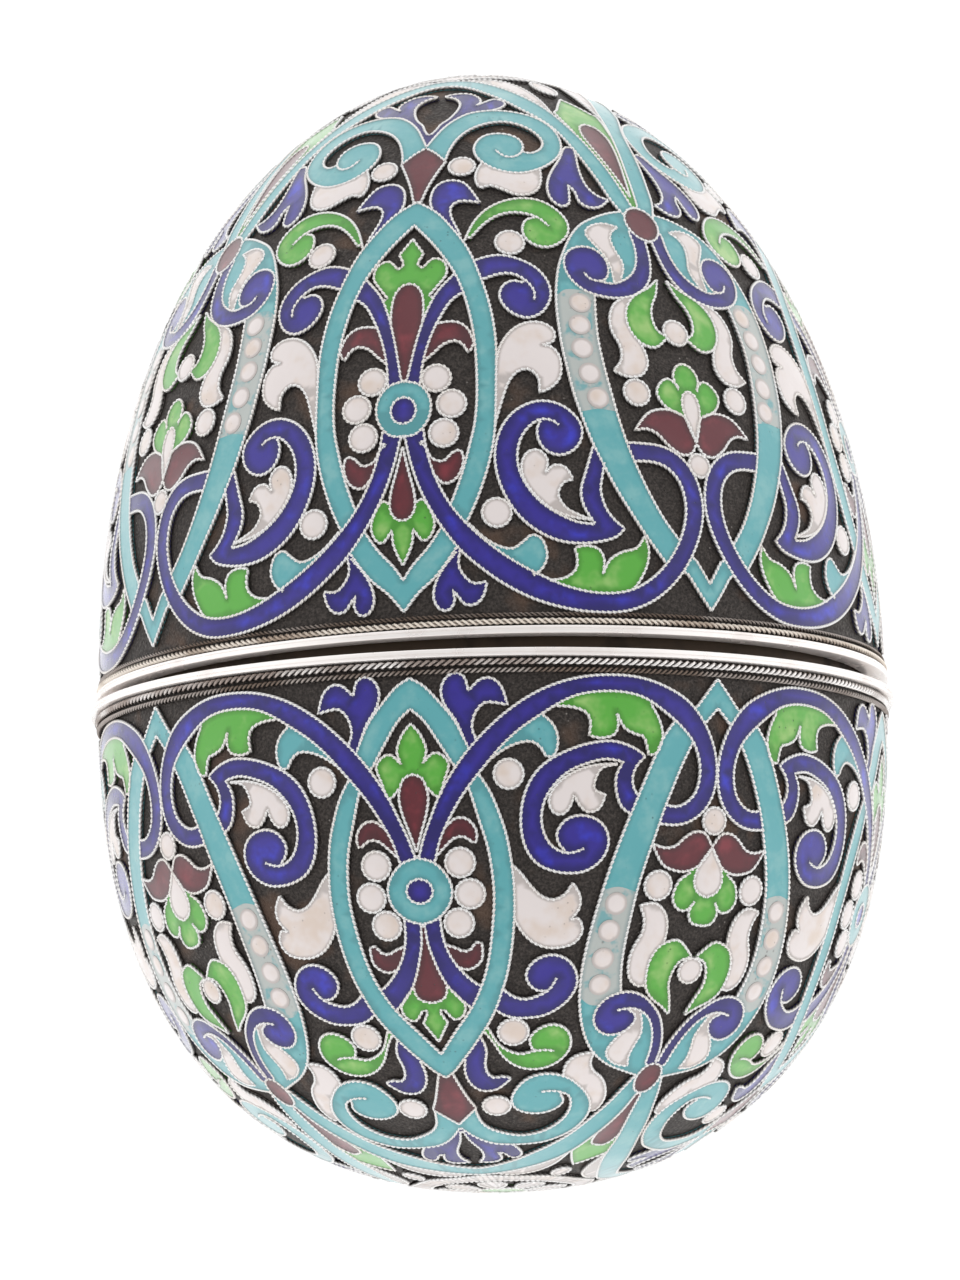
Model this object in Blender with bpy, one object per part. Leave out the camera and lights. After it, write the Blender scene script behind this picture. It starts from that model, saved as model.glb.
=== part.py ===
"""Jewelled egg: a hollow silver egg in two halves, with raised enamel cells on its ground.

The egg lies on its side on a small flat spot. Its axis runs along Y, with the pointed end,
the lid, at +Y. The lid slips over a collar of the lower half and sits a little ajar.
Each half is drawn on a chart: the azimuth in degrees round the axis, and the distance in
millimetres from the mouth, measured along the outside. One eighth of the pattern is drawn,
mirrored and turned round the axis.
"""
import math

import bmesh
import bpy
from mathutils import Matrix, Vector
from mathutils.geometry import delaunay_2d_cdt

MM = 0.001

# Outline of the two halves over the raised cells
BASE_RADIUS = 33.5 * MM
BASE_HEIGHT = 41.3 * MM
BASE_GIRTH_POWER = 2.2
BASE_RISE_POWER = 2.5
LID_SET_IN = 0.1 * MM
LID_RADIUS = BASE_RADIUS - LID_SET_IN
LID_HEIGHT = 53.5 * MM
LID_GIRTH_POWER = 1.95
LID_RISE_POWER = 2.15

# Walls and raised cells
WALL = 1.2 * MM
CELL_RISE = 0.45 * MM
ROSETTE_REACH = 3.2 * MM

# Mouth: plain bands, rope wires and the collar
BAND_HEIGHT = 0.65 * MM
BASE_BAND_PROUD = 0.5 * MM
BASE_BAND_RADIUS = BASE_RADIUS + BASE_BAND_PROUD
LID_BAND_PROUD = 0.15 * MM
LID_BAND_RADIUS = LID_RADIUS + LID_BAND_PROUD
BASE_THICK_WIRE = 0.65 * MM
BASE_THIN_WIRE = 0.5 * MM
LID_THICK_WIRE = 0.55 * MM
LID_THIN_WIRE = 0.38 * MM
COLLAR_WALL = 0.8 * MM
COLLAR_RISE = 2.6 * MM
COLLAR_DEPTH = 4.0 * MM

# Fits
SEAT_GAP = 0.3 * MM
WIRE_GAP = 0.1 * MM
COLLAR_CLEARANCE = 0.35 * MM

# How the lid sits, and how the egg lies
LID_LIFT = 0.35 * MM
LID_AJAR = math.radians(0.8)
LID_OPENS_TOWARDS = math.radians(40)
LID_TURN = math.radians(-12.2)
BASE_TURN = math.radians(-11.6)
FLAT_DEPTH = 1.45 * MM

# Pattern on the chart, in degrees and millimetres
REPEATS = 4
EIGHTH = 180 / REPEATS
LID_PATTERN_FOOT = 0.15
STAGE_LOW, BASE_STAGE_LOW = 1.6, 2.35
STAGE_BOSS, BASE_STAGE_BOSS = 19.1, 19.6
STAGE_ARCH, BASE_STAGE_ARCH = 39.6, 36.7
STAGE_OVAL = 37.2
STAGE_SPIRAL, BASE_STAGE_SPIRAL = 51.9, 46.0
STAGE_VEE, BASE_STAGE_VEE = 59.0, 51.5
BASE_SCROLL_LEAN = 1.7
BASE_SCROLL_HEIGHT = 14.0
BASE_SCROLL_SPREAD = 8.0
FRAME_WIDTH = 1.95
SCROLL_WIDTH = 1.6
BRANCH_WIDTH = 1.85
RIBBON_WIDTH = 3.0
BOSS_RADIUS = 2.55
OVAL_LENGTH = 3.9
OVAL_WIDTH = 4.0

# Fineness of the facets
RING_SIDES = 32
LINER_SIDES = 16
LINER_RINGS = 3
POLE_SIDES = 2 * 2 * REPEATS
CURVE_STEPS = 6
DISC_SIDES = 12
CHORD_ERROR = 0.55
FINEST_ERROR = 0.03
SMALL_LOOP = 2.5
PINCH_GAP = 0.25
EDGE_MARGIN = 0.25
ON_SIDE = 1e-4
SAME_PLACE = 1e-6
CHART_GRAIN = 1e-5
GRAIN_DIGITS = 5
CHART_ROW = 8.0
CHART_CLEARANCE = 1.4
CHART_MM_PER_DEGREE = 0.5
WELD = 1e-6
PROFILE_STEPS = 600
NORMAL_STEPS = 3
SMOOTH_ANGLE = math.radians(32)


class Profile:
    """Outline of one half from its mouth to its pole, measured by arc length."""

    def __init__(self, radius, height, girth_power, rise_power, side):
        self.side = side
        self.steps = [(radius, 0.0)]
        self.lengths = [0.0]
        for step in range(1, PROFILE_STEPS + 1):
            turn = math.pi / 2 * step / PROFILE_STEPS
            around = radius * max(math.cos(turn), 0.0) ** (2 / girth_power)
            along = height * math.sin(turn) ** (2 / rise_power)
            last = self.steps[-1]
            self.lengths.append(self.lengths[-1] + math.dist(last, (around, along)))
            self.steps.append((around, along))
        self.length = self.lengths[-1]

    def at(self, distance):
        """Radius and rise at a distance from the mouth."""
        distance = min(max(distance, 0.0), self.length)
        low, high = 0, PROFILE_STEPS
        while high - low > 1:
            middle = (low + high) // 2
            if self.lengths[middle] <= distance:
                low = middle
            else:
                high = middle
        share = (distance - self.lengths[low]) / (self.lengths[high] - self.lengths[low])
        return tuple(a + (b - a) * share for a, b in zip(self.steps[low], self.steps[high]))

    def point(self, azimuth, distance, depth):
        """Place on the half, at an azimuth in degrees and a depth under the outline."""
        reach = self.length / PROFILE_STEPS * NORMAL_STEPS
        before = self.at(distance - reach)
        after = self.at(distance + reach)
        radius, rise = self.at(distance)
        out = Vector((after[1] - before[1], before[0] - after[0])).normalized()
        if distance >= self.length:
            out = Vector((0.0, 1.0))
        radius = max(radius - out.x * depth, 0.0)
        rise = rise - out.y * depth
        turn = math.radians(azimuth)
        return Vector((radius * math.sin(turn), self.side * rise, radius * math.cos(turn)))

    def bore(self, distance):
        """Radius of the inner wall at a distance from the mouth."""
        inner = self.point(0, distance, CELL_RISE + WALL)
        return inner.z


LID = Profile(LID_RADIUS, LID_HEIGHT, LID_GIRTH_POWER, LID_RISE_POWER, 1)
BASE = Profile(BASE_RADIUS, BASE_HEIGHT, BASE_GIRTH_POWER, BASE_RISE_POWER, -1)


def smooth_curve(points):
    """Points of a Catmull-Rom curve through the given points."""
    last = len(points) - 1
    curve = []
    for span in range(last):
        four = [points[min(max(span + step, 0), last)] for step in (-1, 0, 1, 2)]
        for step in range(CURVE_STEPS):
            t = step / CURVE_STEPS
            curve.append(tuple(
                0.5 * (2 * b + (c - a) * t + (2 * a - 5 * b + 4 * c - d) * t * t
                       + (3 * b - a - 3 * c + d) * t ** 3)
                for a, b, c, d in zip(*four)
            ))
    return curve + [points[-1]]


def band(points, width):
    """Outline pieces of a raised band along a curve: one four-sided piece for each step."""
    line = smooth_curve(points)
    left, right = [], []
    for index, (azimuth, distance) in enumerate(line):
        before = line[max(index - 1, 0)]
        after = line[min(index + 1, len(line) - 1)]
        scale = math.radians(LID.at(distance * MM)[0] / MM)
        along = Vector(((after[0] - before[0]) * scale, after[1] - before[1])).normalized()
        across = Vector((-along.y / scale, along.x)) * width / 2
        left.append((azimuth + across.x, distance + across.y))
        right.append((azimuth - across.x, distance - across.y))
    return [
        [left[i], left[i + 1], right[i + 1], right[i]]
        for i in range(len(line) - 1)
    ]


def facing_leaf(points, axis):
    """Outline of a leaf that is the same on both sides of a meridian."""
    other = [(2 * axis - azimuth, distance) for azimuth, distance in reversed(points)]
    return [points + [point for point in other if point not in points]]


def disc(azimuth, distance, length, width):
    """Outline of a raised dot, with its length along the meridian and its width across."""
    scale = math.radians(LID.at(distance * MM)[0] / MM)
    turns = [2 * math.pi * side / DISC_SIDES for side in range(DISC_SIDES)]
    return [[
        (azimuth + width / 2 / scale * math.sin(turn), distance + length / 2 * math.cos(turn))
        for turn in turns
    ]]


def marquise_motifs():
    """Pointed frame with its boss and buds, on the meridian at 0 degrees."""
    frame = [(-1.6, 39.1), (3.7, 36.7), (8.6, 33.1), (12.1, 27.0), (12.7, 22.0), (12.0, 17.2),
             (7.7, 8.4)]
    chevron = [(-1.4, 2.6), (3.1, 5.4), (7.2, 8.2)]
    bud = [(0, 23.4), (5.8, 31.6), (0, 35.6)]
    return (
        band(frame, FRAME_WIDTH)
        + band(chevron, FRAME_WIDTH)
        + facing_leaf(bud, 0)
        + disc(0, STAGE_BOSS, 2 * BOSS_RADIUS, 2 * BOSS_RADIUS)
    )


def scroll_motifs():
    """Great scroll from the boss, its curled branch, and the pearled ribbon over it."""
    scroll = [(0.8, 17.8), (2.3, 13.8), (5.9, 9.8), (10.8, 6.5), (18.5, 3.85), (27.5, 2.8),
              (36.0, 3.9), (41.6, 7.5), (43.1, 10.5), (41.2, 14.1), (37.5, 15.1), (32.0, 15.2)]
    branch = [(31.4, 8.3), (25.5, 8.2), (19.5, 9.6), (15.5, 13.4), (16.4, 16.8), (20.6, 18.5),
              (24.4, 17.4)]
    horn = [(31.2, 8.3), (28.3, 10.8), (30.3, 15.8)]
    ribbon = [(40.7, 5.3), (33.3, 11.8), (29.1, 19.0), (28.0, 31.0)]
    return (
        band(scroll, SCROLL_WIDTH)
        + band(branch, BRANCH_WIDTH)
        + band(horn, BRANCH_WIDTH)
        + band(ribbon, RIBBON_WIDTH)
    )


def field_motifs():
    """Hook, curl and leaf between the frame and the ribbon, and the flower cell."""
    hook = [(9.0, 33.2), (18.6, 33.2), (23.6, 30.2), (19.6, 27.3), (15.9, 29.0), (18.4, 31.4),
            (11.0, 31.0)]
    curl = [(9.2, 34.6), (14.2, 38.3), (20.5, 39.5), (27.9, 38.2), (25.6, 34.4), (20.8, 35.8),
            (22.4, 37.8)]
    white_leaf = [(13.0, 19.2), (12.8, 24.4), (20.5, 26.9), (24.2, 22.4), (21.0, 20.6)]
    wing = [(25.0, 26.5), (25.2, 30.8), (28.4, 35.0), (34.0, 37.7), (41.5, 38.7), (44.2, 36.0),
            (43.4, 32.0), (39.0, 29.6), (30.5, 28.4)]
    flower = [(45, 23.2), (40.0, 20.6), (35.3, 17.2), (43.4, 15.2), (45, 13.3)]
    return (
        [hook, curl, white_leaf, wing]
        + facing_leaf(flower, EIGHTH)
        + disc(EIGHTH, STAGE_OVAL, OVAL_LENGTH, OVAL_WIDTH)
    )


def crown_motifs():
    """Diamond, great spiral, bud and the ribbon that runs round the pole."""
    diamond = [(0, 46.4), (5.1, 44.4), (1.2, 39.2), (0, 39.2)]
    spiral = [(1.6, 45.0), (4.6, 48.8), (11.5, 50.7), (20.5, 51.0), (27.4, 49.8), (31.2, 47.2),
              (27.0, 44.4), (19.5, 43.8), (14.7, 45.2), (18.0, 46.9)]
    vee = [(42.6, 38.4), (39.6, 45.2), (34.9, 50.6), (26.5, 54.9), (11.5, 58.3), (-3.0, 59.0)]
    bud = [(45, 40.3), (41.4, 46.8), (37.8, 51.9), (45, 54.8)]
    return (
        facing_leaf(diamond, 0)
        + band(spiral, FRAME_WIDTH)
        + band(vee, FRAME_WIDTH)
        + facing_leaf(bud, EIGHTH)
    )


def on_lid(point):
    """Chart place of a point of the pattern on the lid."""
    return point[0], point[1] + LID_PATTERN_FOOT


def on_base(point):
    """Chart place of the same point on the lower half, which is shallower and fuller."""
    azimuth, distance = point
    stages = (
        (0.0, BASE_STAGE_LOW - STAGE_LOW),
        (STAGE_LOW, BASE_STAGE_LOW),
        (STAGE_BOSS, BASE_STAGE_BOSS),
        (STAGE_ARCH, BASE_STAGE_ARCH),
        (STAGE_SPIRAL, BASE_STAGE_SPIRAL),
        (STAGE_VEE, BASE_STAGE_VEE),
        (LID.length / MM, BASE.length / MM),
    )
    for (start, low), (end, high) in zip(stages, stages[1:]):
        if distance <= end or end == stages[-1][0]:
            placed = low + (high - low) * (distance - start) / (end - start)
            break
    nearness = math.exp(-((distance - BASE_SCROLL_HEIGHT) / BASE_SCROLL_SPREAD) ** 2)
    lean = BASE_SCROLL_LEAN * math.sin(math.pi * azimuth / EIGHTH) * nearness
    return azimuth + lean, placed


def chart(point):
    """Flat place of a chart point, close to true size at the height of the frames."""
    return Vector((point[0] * CHART_MM_PER_DEGREE, point[1]))


def box_edges(low, high):
    """Corners and sides of the eighth that is drawn."""
    right = EIGHTH * CHART_MM_PER_DEGREE
    corners = [Vector((0, low)), Vector((right, low)), Vector((right, high)), Vector((0, high))]
    return corners, [(0, 1), (1, 2), (2, 3), (3, 0)]


def loop_area(loop):
    """Signed area inside a loop of flat places, positive where it runs anticlockwise."""
    return sum(a.x * b.y - a.y * b.x for a, b in zip(loop, loop[1:] + loop[:1])) / 2


def raised_edges(outlines, low, high):
    """Edges of the raised cells on the chart, as lines from side to side or closed loops."""
    corners, sides = box_edges(low, high)
    points = list(corners)
    faces = []
    for outline in outlines:
        corners_of_face = [chart(point) for point in outline]
        if loop_area(corners_of_face) < 0:
            corners_of_face.reverse()
        faces.append(list(range(len(points), len(points) + len(outline))))
        points += corners_of_face
    places, _, triangles, _, _, owners = delaunay_2d_cdt(
        points, sides, faces, 0, CHART_GRAIN,
    )
    right = corners[1].x
    sides_of_edge = {}
    for triangle, owner in zip(triangles, owners):
        centre = sum((places[i] for i in triangle), Vector((0, 0))) / 3
        if not (0 < centre.x < right and low < centre.y < high):
            continue
        for a, b in zip(triangle, triangle[1:] + triangle[:1]):
            sides_of_edge.setdefault((min(a, b), max(a, b)), []).append(bool(owner))
    neighbours = {}
    for (a, b), raised in sides_of_edge.items():
        if len(raised) == 2 and raised[0] != raised[1]:
            neighbours.setdefault(a, []).append(b)
            neighbours.setdefault(b, []).append(a)
    return trace_lines(places, neighbours)


def trace_lines(places, neighbours):
    """Lines through the edge points: first the ones that end at a side, then the loops."""
    left = {(a, b) for a in neighbours for b in neighbours[a]}
    starts = [a for a in neighbours if len(neighbours[a]) == 1] + list(neighbours)
    lines = []
    for start in starts:
        while True:
            line = [start]
            while True:
                ahead = [b for b in neighbours[line[-1]] if (line[-1], b) in left]
                if not ahead:
                    break
                left.discard((line[-1], ahead[0]))
                left.discard((ahead[0], line[-1]))
                line.append(ahead[0])
                if ahead[0] == start:
                    break
            if len(line) < 3:
                break
            lines.append([places[i] for i in line])
    return lines


def thinned(line, error):
    """The line with only the points that keep it within the error of its full run."""
    if len(line) < 3:
        return line
    start, end = line[0], line[-1]
    run = end - start
    worst, far = 0, -1.0
    for index in range(1, len(line) - 1):
        step = line[index] - start
        if run.length > SAME_PLACE:
            share = min(max(step.dot(run) / run.length_squared, 0.0), 1.0)
            away = (step - run * share).length
        else:
            away = step.length
        if away > far:
            worst, far = index, away
    if far <= error:
        return [start, end]
    return thinned(line[:worst + 1], error)[:-1] + thinned(line[worst:], error)


def simple_lines(lines, error):
    """The cell edges with few points, and without loops too small to see."""
    kept = []
    for line in lines:
        closed = (line[0] - line[-1]).length < SAME_PLACE
        if closed and abs(loop_area(line)) < SMALL_LOOP:
            continue
        if closed:
            far = max(range(len(line)), key=lambda i: (line[i] - line[0]).length)
            line = thinned(line[far:] + line[1:far + 1], error)
        else:
            line = thinned(line, error)
        if len(line) > 3 or not closed:
            kept.append(line)
    return kept


def field_points(lines, low, high):
    """Points of an even grid over the chart, away from the edges of the cells."""
    corners = [point for line in lines for point in line]
    rows = max(round((high - low) / CHART_ROW), 1)
    right = EIGHTH * CHART_MM_PER_DEGREE
    points = []
    for row in range(rows + 1):
        across = RING_SIDES // (2 * REPEATS)
        if row == rows:
            across = POLE_SIDES // (2 * REPEATS)
        elif row:
            across //= 2
        for step in range(across + 1):
            point = Vector((right * step / across, low + (high - low) * row / rows))
            on_end = row in (0, rows)
            if on_end or all((point - corner).length > CHART_CLEARANCE for corner in corners):
                points.append(point)
    return points


def cell_chart(outlines, low, high):
    """Triangles of the eighth: flat places, and for each triangle whether it is raised."""
    raw = raised_edges(outlines, low, high)
    error = CHORD_ERROR
    while True:
        lines = simple_lines(raw, error)
        points, edges = box_edges(low, high)
        edge_start = len(edges)
        index = {}
        for line in lines:
            keys = [tuple(round(value, GRAIN_DIGITS) for value in point) for point in line]
            for key, point in zip(keys, line):
                if key not in index:
                    index[key] = len(points)
                    points.append(point)
            edges += [(index[a], index[b]) for a, b in zip(keys, keys[1:])]
        given = points + field_points(lines, low, high)
        found = delaunay_2d_cdt(given, edges, [], 0, CHART_GRAIN)
        places, found_edges, triangles, from_points, from_edges = found[:5]
        if all(from_points) or error < FINEST_ERROR:
            break
        error /= 2
    walls = {
        (min(a, b), max(a, b))
        for (a, b), owners in zip(found_edges, from_edges)
        if any(owner >= edge_start for owner in owners)
    }
    places = [Vector(place) for place in places]
    right = EIGHTH * CHART_MM_PER_DEGREE
    triangles = [
        list(triangle) for triangle in triangles
        if all(any(abs(places[i].x - side) > ON_SIDE for i in triangle) for side in (0, right))
    ]
    raised = mark_raised(places, triangles, walls, low)
    part_pinches(places, triangles, walls, raised)
    return places, triangles, walls, raised


def triangle_edges(triangle):
    """The three edges of a triangle, each with its lower corner first."""
    return [(min(a, b), max(a, b)) for a, b in zip(triangle, triangle[1:] + triangle[:1])]


def fan_between_walls(corner, triangles, walls):
    """A run of triangles round a corner that has a wall on both its sides, and those walls."""
    around = {number: triangle_edges(triangles[number]) for number in range(len(triangles))
              if corner in triangles[number]}
    left = set(around)
    while left:
        fan, sides, queue = [], [], [min(left)]
        left.discard(queue[0])
        while queue:
            number = queue.pop()
            fan.append(number)
            for edge in around[number]:
                if corner in edge and edge in walls:
                    sides.append(edge)
                elif corner in edge:
                    beyond = [other for other in left if edge in around[other]]
                    left.difference_update(beyond)
                    queue += beyond
        if len(sides) == 2:
            return fan, sides
    return None


def part_pinches(places, triangles, walls, raised):
    """Draws two cells, or two hollows, apart where they would meet at a single corner."""
    right = EIGHTH * CHART_MM_PER_DEGREE
    for corner in sorted({index for wall in walls for index in wall}):
        on_side = min(places[corner].x, right - places[corner].x) < ON_SIDE
        if sum(corner in wall for wall in walls) < (2 if on_side else 3):
            continue
        found = fan_between_walls(corner, triangles, walls)
        if found is None:
            continue
        fan, sides = found
        apart = len(places)
        ends = [sum(side) - corner for side in sides]
        inward = sum((places[i] for number in fan for i in triangles[number]), Vector((0, 0)))
        inward = inward / (3 * len(fan)) - places[corner]
        places.append(places[corner] + inward.normalized() * min(PINCH_GAP, inward.length / 2))
        for number in fan:
            triangles[number] = [apart if i == corner else i for i in triangles[number]]
        for end, side in zip(ends, sides):
            triangles.append([corner, end, apart])
            raised.append(not raised[fan[0]])
            walls.discard(side)
            walls.add((min(end, apart), max(end, apart)))


def mark_raised(places, triangles, walls, low):
    """Whether each triangle is raised: the foot of the chart isn't, and each wall changes it."""
    by_edge = {}
    for number, triangle in enumerate(triangles):
        for a, b in zip(triangle, triangle[1:] + triangle[:1]):
            by_edge.setdefault((min(a, b), max(a, b)), []).append(number)
    raised = {}
    foot = [
        number for number, triangle in enumerate(triangles)
        if sum(abs(places[i].y - low) < SAME_PLACE for i in triangle) == 2
    ]
    queue = foot[:1]
    raised[foot[0]] = False
    while queue:
        number = queue.pop()
        triangle = triangles[number]
        for a, b in zip(triangle, triangle[1:] + triangle[:1]):
            edge = (min(a, b), max(a, b))
            for other in by_edge[edge]:
                if other not in raised:
                    raised[other] = raised[number] != (edge in walls)
                    queue.append(other)
    return [raised[number] for number in range(len(triangles))]


def ring(mesh, profile, sides, distance, depth):
    """Vertices of one ring round the axis."""
    return [
        mesh.verts.new(profile.point(360 * side / sides, distance, depth))
        for side in range(sides)
    ]


def join_rings(mesh, first, second):
    """Faces between two rings, of which the first has as many sides or twice as many."""
    ratio = len(first) // len(second)
    count = len(second)
    for side in range(count):
        here, there = second[side], second[(side + 1) % count]
        if ratio == 1:
            mesh.faces.new((first[side], first[(side + 1) % count], there, here))
            continue
        a, b, c = (first[(2 * side + step) % len(first)] for step in range(3))
        mesh.faces.new((a, b, here))
        mesh.faces.new((b, there, here))
        mesh.faces.new((b, c, there))


def close_pole(mesh, profile, last, depth):
    """Fan of faces from the last ring to the pole."""
    pole = mesh.verts.new(profile.point(0, profile.length, depth))
    for a, b in zip(last, last[1:] + last[:1]):
        mesh.faces.new((a, b, pole))


def add_cells(mesh, profile, outlines, low, high):
    """Outer face of a shell, with its raised cells, in eight mirrored copies."""
    places, triangles, walls, raised = cell_chart(outlines, low, high)
    right = EIGHTH * CHART_MM_PER_DEGREE
    for copy in range(2 * REPEATS):
        flip = -1 if copy % 2 else 1
        turn = 360 / REPEATS * ((copy + 1) // 2)
        made = {}

        def vertex(index, depth):
            if (index, depth) not in made:
                place = places[index]
                share = min(max(place.x / right, 0.0), 1.0)
                bed = WIRE_GAP if abs(place.y - low) < SAME_PLACE else 0.0
                azimuth = turn + flip * share * EIGHTH
                point = profile.point(azimuth, place.y * MM, depth + bed)
                made[index, depth] = mesh.verts.new(point)
            return made[index, depth]

        for triangle, is_raised in zip(triangles, raised):
            depth = 0.0 if is_raised else CELL_RISE
            mesh.faces.new([vertex(index, depth) for index in triangle])
        for a, b in walls:
            mesh.faces.new((
                vertex(a, 0.0), vertex(b, 0.0), vertex(b, CELL_RISE), vertex(a, CELL_RISE),
            ))


def add_rosette(mesh, profile, start):
    """Raised disc at the pole, and the ground from the last row of cells up to it."""
    edge = profile.length - ROSETTE_REACH
    foot = ring(mesh, profile, POLE_SIDES, start, CELL_RISE)
    low = ring(mesh, profile, POLE_SIDES, edge, CELL_RISE)
    high = ring(mesh, profile, POLE_SIDES, edge, 0.0)
    join_rings(mesh, foot, low)
    join_rings(mesh, low, high)
    close_pole(mesh, profile, high, 0.0)


def add_liner(mesh, profile, mouth):
    """Mouth edge and inner wall of a shell, at one wall's thickness under the ground."""
    inside = CELL_RISE + WALL
    wide = COLLAR_RISE + COLLAR_DEPTH
    lip = ring(mesh, profile, RING_SIDES, mouth, CELL_RISE + WIRE_GAP)
    bore = ring(mesh, profile, RING_SIDES, mouth, inside)
    above_collar = ring(mesh, profile, RING_SIDES, wide, inside)
    join_rings(mesh, lip, bore)
    join_rings(mesh, bore, above_collar)
    last = above_collar
    for step in range(1, LINER_RINGS + 1):
        distance = wide + (profile.length - wide) * step / (LINER_RINGS + 1)
        current = ring(mesh, profile, LINER_SIDES, distance, inside)
        join_rings(mesh, last, current)
        last = current
    close_pole(mesh, profile, last, inside)
    return lip


def shell(name, profile, place, thick_wire, thin_wire, material):
    """One half's shell: hollow, with its raised cells outside and a bed for the rope wires."""
    mouth = BAND_HEIGHT + SEAT_GAP
    low = BAND_HEIGHT + thick_wire + thin_wire + 3 * WIRE_GAP
    high = profile.length - 2 * ROSETTE_REACH
    outlines = []
    for motifs in (marquise_motifs, scroll_motifs, field_motifs, crown_motifs):
        for outline in motifs():
            placed = [place(point) for point in outline]
            outlines.append([
                (azimuth, min(max(distance, low / MM + EDGE_MARGIN), high / MM - EDGE_MARGIN))
                for azimuth, distance in placed
            ])
    mesh = bmesh.new()
    add_cells(mesh, profile, outlines, low / MM, high / MM)
    add_rosette(mesh, profile, high)
    lip = add_liner(mesh, profile, mouth)
    foot = ring(mesh, profile, RING_SIDES, low, CELL_RISE + WIRE_GAP)
    join_rings(mesh, lip, foot)
    return finished(name, mesh, material)


def turned(name, outline, material):
    """Ring turned round the axis from the closed outline of its section."""
    mesh = bmesh.new()
    corners = [mesh.verts.new((0.0, along, radius)) for radius, along in outline]
    sides = [mesh.edges.new((a, b)) for a, b in zip(corners, corners[1:] + corners[:1])]
    bmesh.ops.spin(
        mesh, geom=corners + sides, cent=(0, 0, 0), axis=(0, 1, 0), dvec=(0, 0, 0),
        angle=2 * math.pi, steps=RING_SIDES, use_merge=True, use_duplicate=False,
    )
    return finished(name, mesh, material)


def finished(name, mesh, material):
    """Object of a closed mesh, with faces outward, smooth where it is round."""
    bmesh.ops.remove_doubles(mesh, verts=mesh.verts, dist=WELD)
    bmesh.ops.triangulate(mesh, faces=mesh.faces)
    bmesh.ops.recalc_face_normals(mesh, faces=mesh.faces)
    data = bpy.data.meshes.new(name)
    mesh.to_mesh(data)
    mesh.free()
    data.shade_smooth()
    data.set_sharp_from_angle(angle=SMOOTH_ANGLE)
    data.materials.append(material)
    piece = bpy.data.objects.new(name, data)
    bpy.context.collection.objects.link(piece)
    return piece


def mouth_band(name, profile, radius, material):
    """Plain flat band that forms the mouth of one half."""
    bore = profile.bore(BAND_HEIGHT)
    far = profile.side * BAND_HEIGHT
    return turned(name, ((bore, 0.0), (radius, 0.0), (radius, far), (bore, far)), material)


def rope_wire(name, profile, start, thickness, material):
    """Rope wire laid round the mouth on the ground, as a ring with few sides."""
    middle = start + thickness / 2
    ground = profile.point(0, middle, CELL_RISE).z
    half = thickness / 2
    along = profile.side * middle
    return turned(name, (
        (ground, along - half), (ground, along + half), (ground + thickness, along),
    ), material)


def collar(material):
    """Thin ring fixed inside the lower half, which the lid slips over."""
    outer = min(
        LID.bore(COLLAR_RISE) - COLLAR_CLEARANCE,
        BASE.bore(COLLAR_DEPTH) - SEAT_GAP,
    )
    inner = outer - COLLAR_WALL
    return turned("base_collar", (
        (inner, -COLLAR_DEPTH),
        (outer, -COLLAR_DEPTH),
        (outer, COLLAR_RISE),
        (inner, COLLAR_RISE),
    ), material)


def silver(name, colour, roughness):
    """Silver with its own colour and roughness."""
    material = bpy.data.materials.new(name)
    material.use_nodes = True
    shader = material.node_tree.nodes["Principled BSDF"]
    shader.inputs["Base Color"].default_value = (*colour, 1)
    shader.inputs["Metallic"].default_value = 1
    shader.inputs["Roughness"].default_value = roughness
    return material


def lid_seat():
    """Place of the lid: lifted by its gap and tipped open about the point where it rests."""
    towards = Vector((math.sin(LID_OPENS_TOWARDS), 0, math.cos(LID_OPENS_TOWARDS)))
    rest = towards * -LID_BAND_RADIUS
    axis = towards.cross(Vector((0, 1, 0)))
    return (
        Matrix.Translation(rest + Vector((0, LID_LIFT, 0)))
        @ Matrix.Rotation(LID_AJAR, 4, axis)
        @ Matrix.Translation(-rest)
        @ Matrix.Rotation(LID_TURN, 4, "Y")
    )


def seat(name, matrix, parent):
    """Empty that carries the pieces of one half."""
    empty = bpy.data.objects.new(name, None)
    bpy.context.collection.objects.link(empty)
    empty.parent = parent
    empty.matrix_local = matrix
    return empty


def flat_cutter():
    """Block under the floor, which cuts the flat spot that the egg lies on."""
    size = 2 * (LID_HEIGHT + BASE_HEIGHT)
    mesh = bmesh.new()
    bmesh.ops.create_cube(mesh, size=size)
    bmesh.ops.translate(mesh, verts=mesh.verts, vec=(0, 0, -size / 2))
    data = bpy.data.meshes.new("flat_cutter")
    mesh.to_mesh(data)
    mesh.free()
    cutter = bpy.data.objects.new("flat_cutter", data)
    bpy.context.collection.objects.link(cutter)
    cutter.hide_render = True
    cutter.display_type = "WIRE"
    return cutter


def cut_flat(piece, cutter):
    """Flat spot on one piece."""
    modifier = piece.modifiers.new("flat spot", "BOOLEAN")
    modifier.operation = "DIFFERENCE"
    modifier.solver = "EXACT"
    modifier.object = cutter


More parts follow.
